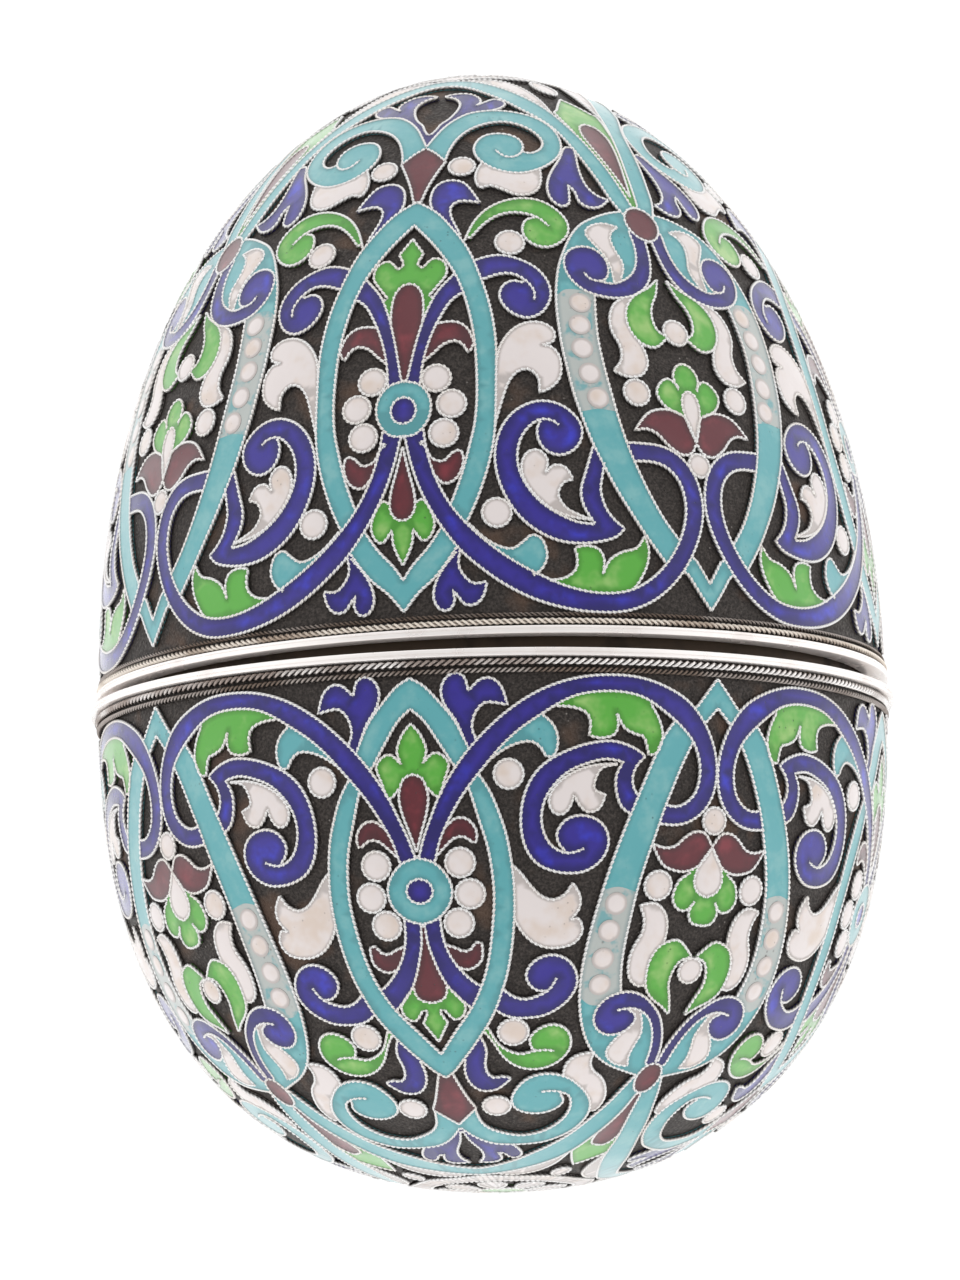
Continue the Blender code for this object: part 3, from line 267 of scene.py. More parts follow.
BASE_LINES = named_lines("""
frame_outer 0,37 2.1,36.3 4.3,35.1 6.2,34 8.1,32.7 9.7,31.5 11.1,30.1 12.2,28.5 13.1,26.9 13.8,24.7
 14.2,22.2 14.2,19.8 13.8,17.6 13.1,15.4 12.1,13.6 10.9,11.9 9.4,10.5
frame_inner 0,34.5 1.9,33.3 3.6,32.2 5.5,31 7.1,29.8 8.4,28.5 9.5,27 10.3,25.2 10.9,22.8 11.2,20.4
 10.9,18 10.3,16.1 9.3,14.2 8.3,12.2 7.8,11.3
chevron_outer 0,2.5 2,3.2 4.2,4.6 6.1,6 7.4,7.5 8.1,8.4
chevron_inner 0,5 1.9,6 3.9,7.8 5.8,9.6
boss_outer 0,17.1 2.3,17.5 4.2,18.6 4.9,19.9 4.2,21.2 2.3,22.2 0,22.6
boss_inner 0,18.8 1.4,19.1 2,19.85 1.4,20.6 0,20.9
stem_inner 0.3,22.6 0.5,24.2 1.1,25.5 1.9,26.8 3,28 4.5,29 6.6,30
stem_outer 2.8,22.2 3,23.8 3.7,25.1 4.7,26.1 6,27 7.6,27.8 8.9,28.2
upper_drop 2.9,27.9 2.6,28.8 1.6,29.3 0,29.5
upper_trefoil 0,33.2 1.1,32.3 2.2,31.4! 1.1,30.3 2,30.2! 3.5,31.1 5.1,30.8 5.7,29.9 4.9,29.2
 3.6,28.4
upper_crescent 4.6,26.2 6.2,26.6 7.8,26.4 9,25.7 9.1,24.4! 8.2,24.3 7.2,24.9 6,25 4.8,24.7 3.2,24.4
lower_drop 0,16.6 0.9,15 1.8,13.4 2.1,12 1.4,10.7 0,10.3
lower_trefoil 2,11.4 3.6,12.2 4.5,10.9 5.2,9.6 4.2,8.8 2.9,8.7 1.5,9.5! 2.1,8.4 1.3,7.1 0,6.2
lower_leaf 2.9,17 4.3,16.2 5.6,15.6 7,15.5 8.6,16 8.8,15 7.6,14.1 5.9,14 4.6,14.6
scroll_outer 2.7,17.3 3.6,15.6 5,14 6.8,12.3 8.8,10.8 10.7,9.5 12.7,8.2 15.2,6.9 18,5.8 20.8,4.8
 23.6,4.1 27,3.8 30.5,3.85 33.5,4.3 36.6,5.4 39.4,6.7 41.2,8 42.1,9.8 41.7,11.5 40.4,12.5 38.6,13
 36.5,12.9
scroll_inner 0.3,17.1 1.1,15.6 2.4,13.8 3.8,12 5.6,10.3 7.8,8.6 10.6,6.9 13.6,5.4 17,4.1 20.5,3.2
 24.2,2.65 28,2.45 32,2.55 36,3.15 39.9,4.3 42.6,6 44.3,8 44.9,10 44.4,11.9 42.9,13.3 40.6,14.2
 38.2,14.5 35.6,14.4
branch_outer 32.6,12.4 31.7,11.6 31.5,10.7 32.1,9.8 33.4,9! 31.4,8.3 28.6,7.85 25.6,8 22.6,8.5
 19.7,9.3 17.6,10.3 16.2,11.6 15.4,13.2 15.3,15 16,16.6 17.6,17.8 19.9,18.4 22.4,18.6 24.9,18.4
 27,17.6 28.1,16.4 27.8,15.1 26.2,14.2 23.8,13.9 21.7,14.3 20.5,15.3 20.8,16.2 21.8,16.8
branch_inner 31.3,13.7 29.9,13.1 29.1,11.9 29.1,10.6 30.1,9.5! 27.4,9.3 24.6,9.7 22.2,10.3
 20.2,11.3 18.8,12.5 18.2,13.9 18.5,15.2 19.6,16.3 21.4,16.9 23,16.9 24.5,16.6
branch_leaf 29.2,9.7 27,10 26,10.9 25.9,11.8 27.5,12.2! 26.6,13.3 25,13.6 23.8,13.1 22.9,12.2!
 22.3,13.2 21.2,13.8 19.9,13.6 19.3,12.7 19.9,11.8 21.4,10.9 23.6,10.2 26.2,9.8 29.2,9.7
fin 11,9.3 13,8.5 15,8 16.9,7.9 18.2,8.4 19,9.1 20.2,8.9 20.6,7.6 19.9,6.5 18.4,5.7
bilobe 20.3,5 22.7,5.1 24.6,5.5 25.3,6.3 25.1,7.4! 26.8,7.6 28.7,7.3 29.3,6.5 29.1,5.5! 30.2,6.7
 31.8,7.2 33.2,7.5 33.9,8.9! 35.3,8.6 36,7.3 35.5,6 34.2,4.7
trefoil_blue 7.4,7.5 6.4,6.1 4.9,4.8 4.4,3.6 5.1,2.6 6.5,2.2 7.7,2.6 8.2,3.7! 8.9,3.3 9.9,2.8
 11.4,2.7 12.8,3.4 13.6,4.9! 12,4.7 10.4,4.7 9.1,5.5 8.6,6.7 9.2,7.7
ribbon_left 38.2,5.9 36.2,7.4 34.8,9.1 33.3,11.1 31.9,13 30.6,14.9 29.3,17 28.1,19.2 27,21.6
 26.1,24 25.5,26.6 25.5,28.6 26,30.4 27.1,32.2 28.9,33.8 31.1,34.9 34.2,35.8 38,36.4 42,36.9
ribbon_right 40.9,7.6 39.2,9.5 37.8,11.4 36.5,13.3 35.4,15.3 34.2,17.5 33.2,19.8 32.5,22.4
 32.1,24.8 32.2,26.8 32.8,28.6
side_chevron_outer 45,2.4 43.4,3.5 41.7,4.7
side_chevron_inner 45,4.8 43.8,5.5 43,6
curl_outer 44.7,35.4 44.4,33.9 43.3,32.3 41.7,30.9 39.7,29.9 37.5,29.1 35,28.7 32.6,28.8 30.5,29.3
 29.1,30.2 28.8,31.3 29.8,32.2 31.6,32.7 33.6,32.7 35.5,32.3 36.8,31.4 36.4,30.7 34.9,30.3
curl_inner 42.5,35.5 42.2,34 41.3,32.5 39.9,31.3 38.3,30.6 36.6,30.25 34.9,30.2 32.9,30.4
curl_leaf 35.6,32.2 34,33.1 32.9,34.2 33.4,35 35.6,35.7 38.6,35.9! 38,34.8 38.4,33.6 38.9,32.6
 38.4,31.5 37.6,30.6
heart_green 43.2,30.6 41.3,29.9 39.2,29.3 37.6,28.5 36.9,27.4 36.9,26 37.9,24.8 39.6,24.2 41.8,24.1
 44.6,25.4! 42.6,25.8 41.6,26.8 41.5,27.9 42.3,29 43.3,30.5
side_leaf 37.2,28 35.6,28.1 33.9,27.4 33.3,26 33.8,24.7 34.9,23.4 34.8,22.2 33.9,21.2! 36.4,21
 38.3,21.8 39,23 38.9,24.2
petal_top 43.2,20.6 42.4,21.6 43.2,22.5 45,22.7
petal_side 42.9,20.9 41.7,21.5 40.1,21.3 39.2,20.4 39.9,19.1 41.6,18.4
petal_seed 45,20.3 43.3,19.9 42.5,18.9 43.2,17.6 45,16.2
wing_garnet 44.9,16.2 44.1,17 42.8,17.8 40.9,18.25 38.9,18.2 36.8,17.7 35,16.1! 37,16.4 38.8,16.2
 40.2,15.5 41.8,15 43.6,15.1 44.9,16.1
white_leaf 14.1,22.2 15.2,23.3 17,24.3 19.3,24.8 21.6,24.8 23.8,24.4 24.9,23.4 24.2,22.4 22.8,22.5!
 24.1,21.6 24.2,20.5 23,19.4! 22,20.3 20.2,20.8 18.3,20.5 16.6,19.6 15.2,18.6 13.9,17.9
hook_outer 10.7,30.2 12.4,30.8 14.5,31.1 17,31.1 19.5,30.9 21.8,30.3 23.7,29.4 24.8,28.2 24.5,27
 23.1,26 21,25.5 18.9,25.6 17.1,26.2 16.2,27.1 16.7,28 18.2,28.6 19.8,28.6
hook_inner 12,28.3 13.9,29.1 16.1,29.4 18.3,29.1 20.2,28.5 21.3,27.5
vine_outer 8.8,32.4 10.4,33.5 12,34.8 14,35.7 16.4,36.2 19,36.3 21.6,36 23.8,35.3 25.2,34.2 25,33
 23.5,32.1 21.2,31.8 18.9,32.2 17.3,33.1 17.8,34.1 19,34.4
vine_inner 9.4,32 11.2,33.6 13.4,34.4 15.8,34.7 18.3,34.4 20.5,34.3 22.2,34.4
flame 4.6,35.1 4.2,36.5 4.9,37.7 6.6,38.5 8.8,38.7 11.2,38.4 13.9,37.3! 12,37.1 10.2,37.2 8.9,36.7
 8.5,35.7 8.9,34.5 8.6,33.6 7.9,32.9
diamond 0,42.9 2.7,41.9 5.4,40.8! 4,39.7 2.8,38.4 1.5,36.7
spiral_outer 0,43.4 2.7,44.6 5.8,45.5 8.9,46 12,46.2 16.7,46.25 21.4,46.1 25.2,45.8 28.4,45.2
 31.2,44.4 33.3,43.3 34.3,41.8 33.6,40.3 31.6,39.1 29,38.1 26.2,37.3 23.2,36.9 20.2,36.9 17.4,37.4
 15.3,38.4 14.1,39.7 14.9,40.8 17.2,41.4 20.2,41.6 23.2,41.4 25.6,40.8 26.5,40 25.4,39.2
spiral_inner 5,40.9 6,42.6 8,43.6 10.8,44.2 14,44.6 17.4,44.8 20.8,44.6 24,44.1 26.7,43.2 28.5,42
 28.8,40.6 27.6,39.4 25.2,38.9 22.8,38.8 20.9,38.9
pale_leaf 25,37 25.2,35.8 27,34.9 30.4,34.5! 30.2,35.6 31.4,36.5 33.6,37.2 35.4,38.2 36.6,39.6
 36,41 34,41.3
vee_outer 41.6,36.9 40,38.5 38.4,40.2 36.4,41.8 34.4,43.3 32.2,44.7 29.7,45.8 26.6,46.9 23,47.9
 18.5,49 13,49.9 7,50.6 0,51
vee_inner 44.4,38.7 43.6,41 42.2,43 40.2,45 37.8,47 34.6,48.6 30.4,49.8 25,50.8 18,51.7 9,52.4
 0,52.7
oval 45,35.5 43.2,35.8 42.1,36.7 42.1,37.6 43.2,38.5 45,38.8
drop_garnet 40.9,44.3 41.3,45.5 42.8,46.1 45,46.2
drop_cap 37.2,47.3 38.9,48.2 41.8,49.3 45,50.1
heart_top 0.3,43.9 1.3,45.3 2.6,46.2 4.2,47.2 4.6,48.2 3.7,49 1.8,49.5! 5.4,49.6 9,49.5 11.3,49
 11,48.3 10,47.7! 12.4,47.9 14.6,48.6 17.2,48.7 18.9,48.1 17.6,47.2 15,46.3
rosette_disc 0,58.9 22,58.9 45,58.9
rosette_petal 0,55.5 10,55.8 16,56.8 12,58 0,58.9
rosette_leaf 45,55.5 35,55.8 29,56.8 33,58 45,58.9
ring_outer 0,53.1 10,53.4 22,53.6 34,53.5 45,53.4
ring_inner 0,54.9 22,55 45,54.9
pole_leaf 8,52.5 17,52.9 26,52.4 31.5,51.5 35,50.2 36.4,48.6 36.6,47.6
pole_drop 45,50.9 41.5,51.3 40,52 41.5,52.7 45,53
""")
BASE_SEAMS = named_lines("""
ribbon_bar 27.7,20 30.2,19.7 33,20.1
ribbon_seam 25.6,29.2 27.4,29.9 29.3,30
""")
BASE_DOTS: dict[str, tuple[float, float, float]] = {
    "dot_high": (5.7, 22.6, 1.2),
    "dot_middle": (7.6, 20.2, 1.2),
    "dot_low": (6.3, 17.6, 1.2),
    "field_dot": (13.6, 10.5, 1.2),
    "pearl_1": (30, 21.1, 0.95),
    "pearl_2": (29.3, 23.4, 0.95),
    "pearl_3": (28.8, 25.8, 0.95),
    "pearl_4": (28.9, 28.1, 0.95),
    "heart_dot": (45, 26.6, 1.1),
    "flower_dot": (45, 14, 1.1),
    "wing_dot": (36.5, 19.5, 1.2),
    "hook_dot": (14.1, 32.5, 1.25),
    "diamond_dot": (10.5, 40.6, 1.15),
}
BASE_SEEDS = named_lines("""
turquoise 12.7,22 9.9,13.8 1.5,5 3.3,19.8 16,7.2 31.6,16 38,9.6 44,4.1 29.2,33.2 40.6,34.5 2.5,43.4
 31,42 18,39 42.8,39.8 34,46 10,51.2
pearl 26.8,25
cobalt 0.9,19.8 1.6,22.9 1.7,15.9 10,8.2 30,3.1 43.4,10 38,13.8 16.3,14.5 24,8.9 25.6,15.4 5.8,3.6
 10.6,3.6 43.4,34.6 31,31.4 35,29.4 22.6,29 13.5,30 18.5,26.9 6,36.8 8,47.5 14.5,47.4
green 20,60 0.6,31.8 4.4,30 0.6,8.4 3.8,10.4 26.8,6 32,5.8 38.8,26.4 44,21.6 41,20.2 14,35.1 21,33
 41.6,47.6
garnet 0.6,27.4 0.5,12.6 7.2,25.8 6.4,14.8 40.5,16.8 0.8,40.6 43.6,37.2 43.6,44
white 1,57 44,57 22,54.3 24,51.8 44.5,52 5.7,22.6 7.6,20.2 6.3,17.6 20.6,12.6 13.6,10.5 30,21.1
 29.3,23.4 28.8,25.8 28.9,28.1 35.8,34.4 35,26.4 44.6,26.6 44.2,18.6 44.6,14 36.5,19.5 18,22.6
 14.1,32.5 10.5,40.6 28,36.4
""")


class Enamel(Enum):
    """Colours of enamel on the egg."""

    TURQUOISE = "turquoise"
    PEARL = "pearl"
    COBALT = "cobalt"
    GREEN = "green"
    GARNET = "garnet"
    WHITE = "white"


class Slot(Enum):
    """Material slots of the part's record."""

    ENAMELLED = "enamelled_silver"
    BRIGHT = "bright_silver"
    ROPE = "rope_silver"
    GILT = "gilt_silver"


class Metal(Enum):
    """Finishes of the silver and gilt pieces."""

    GROUND = "ground"
    WIRE = "wire"
    ROPE = "rope"
    WARM_ROPE = "warm rope"
    DARK_ROPE = "dark rope"
    BAND = "band"
    GILT = "gilt"
    SHADOWED_GILT = "dark gilt"


def read_line(text: str) -> list[Point]:
    """Points of a written line; a corner is given twice.

    Args:
        text: azimuth,distance pairs, a corner's with an exclamation mark.

    Returns:
        The points, in degrees and millimetres.
    """
    points = []
    for word in text.split():
        azimuth, distance = (float(number) for number in word.rstrip("!").split(","))
        points += [(azimuth, distance)] * (2 if word.endswith("!") else 1)
    return points


def smooth(points: list[Point]) -> list[Point]:
    """Catmull-Rom curve through points, which breaks where a point stands twice.

    Args:
        points: the drawn points.

    Returns:
        The curve's points.
    """
    runs = [[points[0]]]
    for point in points[1:]:
        if point == runs[-1][-1]:
            runs.append([point])
        else:
            runs[-1].append(point)
    curve = []
    for run in (run for run in runs if len(run) > 1):
        last = len(run) - 1
        for span in range(last):
            four = [run[min(max(span + step, 0), last)] for step in (-1, 0, 1, 2)]
            for step in range(CURVE_STEPS):
                t = step / CURVE_STEPS
                curve.append(tuple(
                    0.5 * (2 * b + (c - a) * t + (2 * a - 5 * b + 4 * c - d) * t * t
                           + (3 * b - a - 3 * c + d) * t ** 3)
                    for a, b, c, d in zip(*four)
                ))
    return curve + [points[-1]]


@dataclass(frozen=True)
class Profile:
    """Outline of one half from its mouth to its pole, in millimetres of arc length."""

    radius: float
    height: float
    girth_power: float
    rise_power: float
    side: int

    @cached_property
    def table(self) -> tuple[np.ndarray, np.ndarray, np.ndarray]:
        """The outline in small steps.

        Returns:
            Arc lengths, radii and rises.
        """
        turn = np.linspace(0.0, math.pi / 2, PROFILE_STEPS + 1)
        around = self.radius * np.maximum(np.cos(turn), 0.0) ** (2 / self.girth_power)
        along = self.height * np.sin(turn) ** (2 / self.rise_power)
        steps = np.hypot(np.diff(around), np.diff(along))
        return np.concatenate([[0.0], np.cumsum(steps)]), around, along

    @property
    def length(self) -> float:
        """Arc length from mouth to pole."""
        return float(self.table[0][-1])

    def degree(self, distance: float) -> float:
        """Width of one degree of azimuth at a distance from the mouth."""
        return math.radians(max(float(np.interp(distance, *self.table[:2])), NARROWEST))

    def outline(self, distance: np.ndarray) -> tuple[np.ndarray, np.ndarray]:
        """Radius and rise at distances from the mouth."""
        lengths, around, along = self.table
        return np.interp(distance, lengths, around), np.interp(distance, lengths, along)

    def outward(self, distance: np.ndarray) -> tuple[np.ndarray, np.ndarray]:
        """Outward direction at distances from the mouth.

        Args:
            distance: millimetres from the mouth.

        Returns:
            Its radial and its axial share.
        """
        reach = self.length / PROFILE_STEPS * NORMAL_STEPS
        radius_before, rise_before = self.outline(distance - reach)
        radius_after, rise_after = self.outline(distance + reach)
        radial, axial = rise_after - rise_before, radius_before - radius_after
        size = np.hypot(radial, axial)
        pole = distance >= self.length - SAME
        return np.where(pole, 0.0, radial / size), np.where(pole, 1.0, axial / size)

    def places(self, azimuth: np.ndarray, distance: np.ndarray, lift: np.ndarray) -> np.ndarray:
        """Points on or over the ground of the half.

        Args:
            azimuth: degrees round the axis.
            distance: millimetres from the mouth.
            lift: millimetres above the ground.

        Returns:
            One row of x, y and z, in metres, for each point.
        """
        radius, rise = self.outline(distance)
        radial, axial = self.outward(distance)
        depth = CELL_RISE - lift
        radius = np.maximum(radius - radial * depth, 0.0)
        rise = rise - axial * depth
        turn = np.radians(azimuth)
        return MM * np.stack(
            [radius * np.sin(turn), self.side * rise, radius * np.cos(turn)], axis=-1
        )

    def normals(self, azimuth: np.ndarray, distance: np.ndarray) -> np.ndarray:
        """Outward unit directions at places on the half.

        Args:
            azimuth: degrees round the axis.
            distance: millimetres from the mouth.

        Returns:
            One row of x, y and z for each place.
        """
        radial, axial = self.outward(distance)
        turn = np.radians(azimuth)
        return np.stack(
            [radial * np.sin(turn), self.side * axial, radial * np.cos(turn)], axis=-1
        )


@dataclass
class Sheet:
    """Triangles with named numbers at their corners, before they become a piece."""

    corners: np.ndarray
    faces: np.ndarray
    values: dict[str, np.ndarray]

    def mirrored(self) -> "Sheet":
        """The same across the meridian of azimuth 0."""
        return Sheet(self.corners * np.array([-1.0, 1.0, 1.0]), self.faces[:, ::-1], self.values)

    def turned(self, degrees: float) -> "Sheet":
        """The same, turned round the egg's axis."""
        turn = np.array(Matrix.Rotation(math.radians(degrees), 3, "Y"))
        return Sheet(self.corners @ turn.T, self.faces, self.values)

    @staticmethod
    def joined(sheets: list["Sheet"]) -> "Sheet":
        """All sheets as one.

        Args:
            sheets: the sheets, each with the same named numbers.

        Returns:
            One sheet.
        """
        starts = np.cumsum([0] + [len(sheet.corners) for sheet in sheets[:-1]])
        return Sheet(
            np.concatenate([sheet.corners for sheet in sheets]),
            np.concatenate([sheet.faces + start for sheet, start in zip(sheets, starts)]),
            {
                key: np.concatenate([sheet.values[key] for sheet in sheets])
                for key in sheets[0].values
            },
        )

    def piece(self, name: str) -> bpy.types.Object:
        """An object of these triangles, with the numbers as attributes.

        Args:
            name: the piece's name.

        Returns:
            The object, linked to the scene.
        """
        mesh = bpy.data.meshes.new(name)
        mesh.from_pydata(self.corners.tolist(), [], self.faces.tolist())
        for key, numbers in self.values.items():
            attribute = mesh.attributes.new(key, "FLOAT", "POINT")
            attribute.data.foreach_set("value", numbers.astype(np.float32))
        mesh.update()
        piece = bpy.data.objects.new(name, mesh)
        bpy.context.scene.collection.objects.link(piece)
        return piece


def sweep(centres: np.ndarray, outs: np.ndarray, section: np.ndarray, twist: float,
          closed: bool, press: tuple[float, float] = (1.0, 1.0)) -> tuple[Sheet, np.ndarray]:
    """Wire of one section laid along points, turning as it goes.

    Args:
        centres: the points of the wire's middle.
        outs: unit directions away from the ground there.
        section: places round the middle, along outs and across.
        twist: degrees that the section turns from one point to the next.
        closed: True for a ring.
        press: how much the twisted wire is pressed outwards and sideways.

    Returns:
        The wire, and how far outwards of its middle each corner is.
    """
    count, sides = len(centres), len(section)
    if closed:
        tangents = np.roll(centres, -1, axis=0) - np.roll(centres, 1, axis=0)
    else:
        tangents = np.gradient(centres, axis=0)
    across = np.cross(tangents, outs)
    across /= np.linalg.norm(across, axis=1, keepdims=True)
    turn = np.radians(twist) * np.arange(count)[:, None]
    up = press[0] * (np.cos(turn) * section[:, 0] - np.sin(turn) * section[:, 1])
    aside = press[1] * (np.sin(turn) * section[:, 0] + np.cos(turn) * section[:, 1])
    corners = (
        centres[:, None] + up[..., None] * outs[:, None] + aside[..., None] * across[:, None]
    ).reshape(-1, 3)
    rings = np.arange(count if closed else count - 1)[:, None]
    side = np.arange(sides)[None, :]
    after = (rings + 1) % count
    a, b = rings * sides + side, rings * sides + (side + 1) % sides
    c, d = after * sides + (side + 1) % sides, after * sides + side
    faces = np.concatenate([
        np.stack([a, b, c], axis=-1).reshape(-1, 3), np.stack([a, c, d], axis=-1).reshape(-1, 3)
    ])
    if not closed:
        last = (count - 1) * sides
        caps = [(0, step + 1, step) for step in range(1, sides - 1)]
        caps += [(last, last + step, last + step + 1) for step in range(1, sides - 1)]
        faces = np.concatenate([faces, np.array(caps)])
    return Sheet(corners, faces, {}), up.reshape(-1)


def edges_of(triangle: list[int]) -> list[tuple[int, int]]:
    """Edges of a triangle, each with its lower corner first."""
    return [(min(a, b), max(a, b)) for a, b in zip(triangle, triangle[1:] + triangle[:1])]


def turning(p: np.ndarray, q: np.ndarray, r: np.ndarray) -> np.ndarray:
    """Twice the signed area of flat triangles from their corners."""
    (ax, ay), (bx, by) = (q - p).T, (r - p).T
    return ax * by - ay * bx


@dataclass
class Pattern:
    """Wires and cells of one eighth of a half, drawn flat and laid on the outline."""

    profile: Profile
    shift: float
    lines: dict[str, str]
    seams: dict[str, str]
    dots: dict[str, tuple[float, float, float]]
    seeds: dict[str, str]
    bare_dots: str = "pearl"

    def is_bare(self, name: str) -> bool:
        """True for a border without wire."""
        return name in self.seams or name.startswith(self.bare_dots)

    def dot_ring(self, name: str, share: float, sides: int) -> list[Point]:
        """Points round a dot.

        Args:
            name: the dot.
            share: how far out, as a share of its radius.
            sides: how many sides the ring has.

        Returns:
            The ring's points, with the first one again at its end.
        """
        azimuth, distance, radius = self.dots[name]
        distance += self.shift
        wide = radius * share / self.profile.degree(distance)
        return [
            (azimuth + wide * math.sin(2 * math.pi * step / sides),
             distance + radius * share * math.cos(2 * math.pi * step / sides))
            for step in range(sides + 1)
        ]

    def drawn(self) -> dict[str, list[Point]]:
        """All lines as smooth curves, cut at the two meridians of the eighth.

        Returns:
            The curves by name.
        """
        curves = {name: self.dot_ring(name, 1.0, DOT_SIDES) for name in self.dots}
        for name, text in {**self.lines, **self.seams}.items():
            points = [(azimuth, distance + self.shift) for azimuth, distance in read_line(text)]
            curves[name] = smooth(points)
        cut = {}
        for name, curve in curves.items():
            for index, run in enumerate(self.runs_inside(curve)):
                cut[f"{name}.{index}" if index else name] = run
        return cut

    @staticmethod
    def runs_inside(curve: list[Point]) -> list[list[Point]]:
        """The runs of a curve that lie between the two meridians.

        Args:
            curve: points in order.

        Returns:
            The runs, each ending on the meridian that it crosses.
        """
        runs: list[list[Point]] = [[]]
        for point, after in zip(curve, curve[1:] + [None]):
            inside = -SAME <= point[0] <= EIGHTH + SAME
            if inside:
                runs[-1].append(point)
            if after is None or inside == (-SAME <= after[0] <= EIGHTH + SAME):
                continue
            side = 0.0 if min(point[0], after[0]) < 0 else EIGHTH
            share = (side - point[0]) / (after[0] - point[0])
            runs[-1].append((side, point[1] + (after[1] - point[1]) * share))
            if inside:
                runs.append([])
        runs = [run for run in runs if len(run) > 1]
        if len(runs) == 2 and curve[0] == curve[-1] and runs[1][-1] == runs[0][0]:
            runs = [runs[1] + runs[0][1:]]
        return runs

    def nearest(self, name: str, end: int, curves: dict[str, list[Point]]
                ) -> tuple[float, Point, str, int]:
        """The nearest place on any curve to one end of a curve.

        Args:
            name: the curve whose end is looked at.
            end: 0 for its first point, -1 for its last.
            curves: all curves.

        Returns:
            Distance, place, the other curve's name, and the step of it that the place is on.
        """
        point = curves[name][end]
        width = self.profile.degree(point[1])
        best = (math.inf, point, name, 0)
        for other, curve in curves.items():
            steps = range(len(curve) - 1)
            if other == name:
                last = len(curve) - 1
                steps = range(OWN_STEPS, last) if end == 0 else range(last - OWN_STEPS)
            for step in steps:
                (ax, ay), (bx, by) = curve[step], curve[step + 1]
                dx, dy = (bx - ax) * width, by - ay
                px, py = (point[0] - ax) * width, point[1] - ay
                share = min(max((px * dx + py * dy) / max(dx * dx + dy * dy, SAME ** 2), 0), 1)
                away = math.hypot(dx * share - px, dy * share - py)
                if away < best[0]:
                    place = (ax + (bx - ax) * share, ay + (by - ay) * share)
                    best = (away, place, other, step)
        return best

    @cached_property
    def curves(self) -> dict[str, list[Point]]:
        """The drawn curves, with loose ends led onto the curve that they meet.

        Returns:
            The curves by name.
        """
        curves = self.drawn()
        for name, curve in curves.items():
            if math.dist(curve[0], curve[-1]) < SAME:
                continue
            for end in (0, -1):
                azimuth, distance = curve[end]
                for side in (0.0, EIGHTH):
                    if abs(azimuth - side) * self.profile.degree(distance) < BORDER_REACH:
                        curve[end] = (side, distance)
                if curve[end][0] in (0.0, EIGHTH):
                    continue
                away, place, other, step = self.nearest(name, end, curves)
                if away < SNAP_REACH:
                    curves[other].insert(step + 1, place)
                    curve.insert(0 if end == 0 else len(curve), place)
        return curves

    def spaced(self, name: str, spacing: float, lift: float) -> tuple[np.ndarray, np.ndarray]:
        """Even points along a curve.

        Args:
            name: the curve.
            spacing: millimetres between points.
            lift: millimetres above the ground.

        Returns:
            The azimuths and distances.
        """
        line = np.array(self.curves[name])
        places = self.profile.places(line[:, 0], line[:, 1], np.full(len(line), lift)) / MM
        lengths = np.concatenate([[0], np.cumsum(np.linalg.norm(np.diff(places, axis=0), axis=1))])
        count = max(int(round(lengths[-1] / spacing)), 2)
        at = np.linspace(0, lengths[-1], count + 1)
        return np.interp(at, lengths, line[:, 0]), np.interp(at, lengths, line[:, 1])

    def wires(self) -> Sheet:
        """Twisted wires of the eighth, each a chain of beads.

        Returns:
            The wires, with how high each corner stands as a share of the wire's top.
        """
        angles = 2 * math.pi / WIRE_SIDES * np.arange(WIRE_SIDES)
        section = MM * np.stack([np.cos(angles), np.sin(angles)], axis=-1)
        wires = []
        for name in self.curves:
            if self.is_bare(name):
                continue
            azimuth, distance = self.spaced(name, BEAD_PITCH / BEAD_SAMPLES, WIRE_MIDDLE)
            middle = np.full(len(azimuth), WIRE_MIDDLE)
            wire, up = sweep(
                self.profile.places(azimuth, distance, middle),
                self.profile.normals(azimuth, distance), section,
                360 / WIRE_SIDES / BEAD_SAMPLES, False,
                (WIRE_HALF_HEIGHT, WIRE_HALF_WIDTH),
            )
            wire.values["height"] = (WIRE_MIDDLE + up / MM) / (WIRE_MIDDLE + WIRE_HALF_HEIGHT)
            wires.append(wire)
        return Sheet.joined(wires)

    def inner_points(self) -> list[Point]:
        """Points inside the cells: an even grid, and rings inside each dot.

        Returns:
            The points between the two meridians.
        """
        points = []
        row = 0
        distance = BAND_HEIGHT * 2
        while distance < self.profile.length - FIELD_GRID / 2:
            step = FIELD_GRID / self.profile.degree(distance)
            count = max(int(EIGHTH / step), 1)
            offset = 0.5 * (row % 2)
            points += [
                (min((index + offset) * EIGHTH / count, EIGHTH), distance)
                for index in range(count + 1)
            ]
            points += [(0.0, distance), (EIGHTH, distance)]
            distance += FIELD_ROW
            row += 1
        for name in self.dots:
            azimuth, distance, _ = self.dots[name]
            points.append((azimuth, distance + self.shift))
            for share, sides in DOT_RINGS:
                points += self.dot_ring(name, share, sides)[:-1]
        return [point for point in points if -SAME <= point[0] <= EIGHTH + SAME]

    def laid(self, points: list[Point], lift: float = WIRE_MIDDLE) -> np.ndarray:
        """Chart points on the half, in metres."""
        rows = np.array(points)
        return self.profile.places(rows[:, 0], rows[:, 1], np.full(len(rows), lift))

    def tree(self, bare: bool) -> KDTree:
        """Search tree of points along the wires.

        Args:
            bare: True to take in the bare borders too.

        Returns:
            The tree, with places in metres.
        """
        places = []
        for name in self.curves:
            if bare or not self.is_bare(name):
                azimuth, distance = self.spaced(name, TREE_SPACING, WIRE_MIDDLE)
                places.append(self.laid(list(zip(azimuth, distance))))
        places = np.concatenate(places)
        tree = KDTree(len(places))
        for index, place in enumerate(places):
            tree.insert(place, index)
        tree.balance()
        return tree

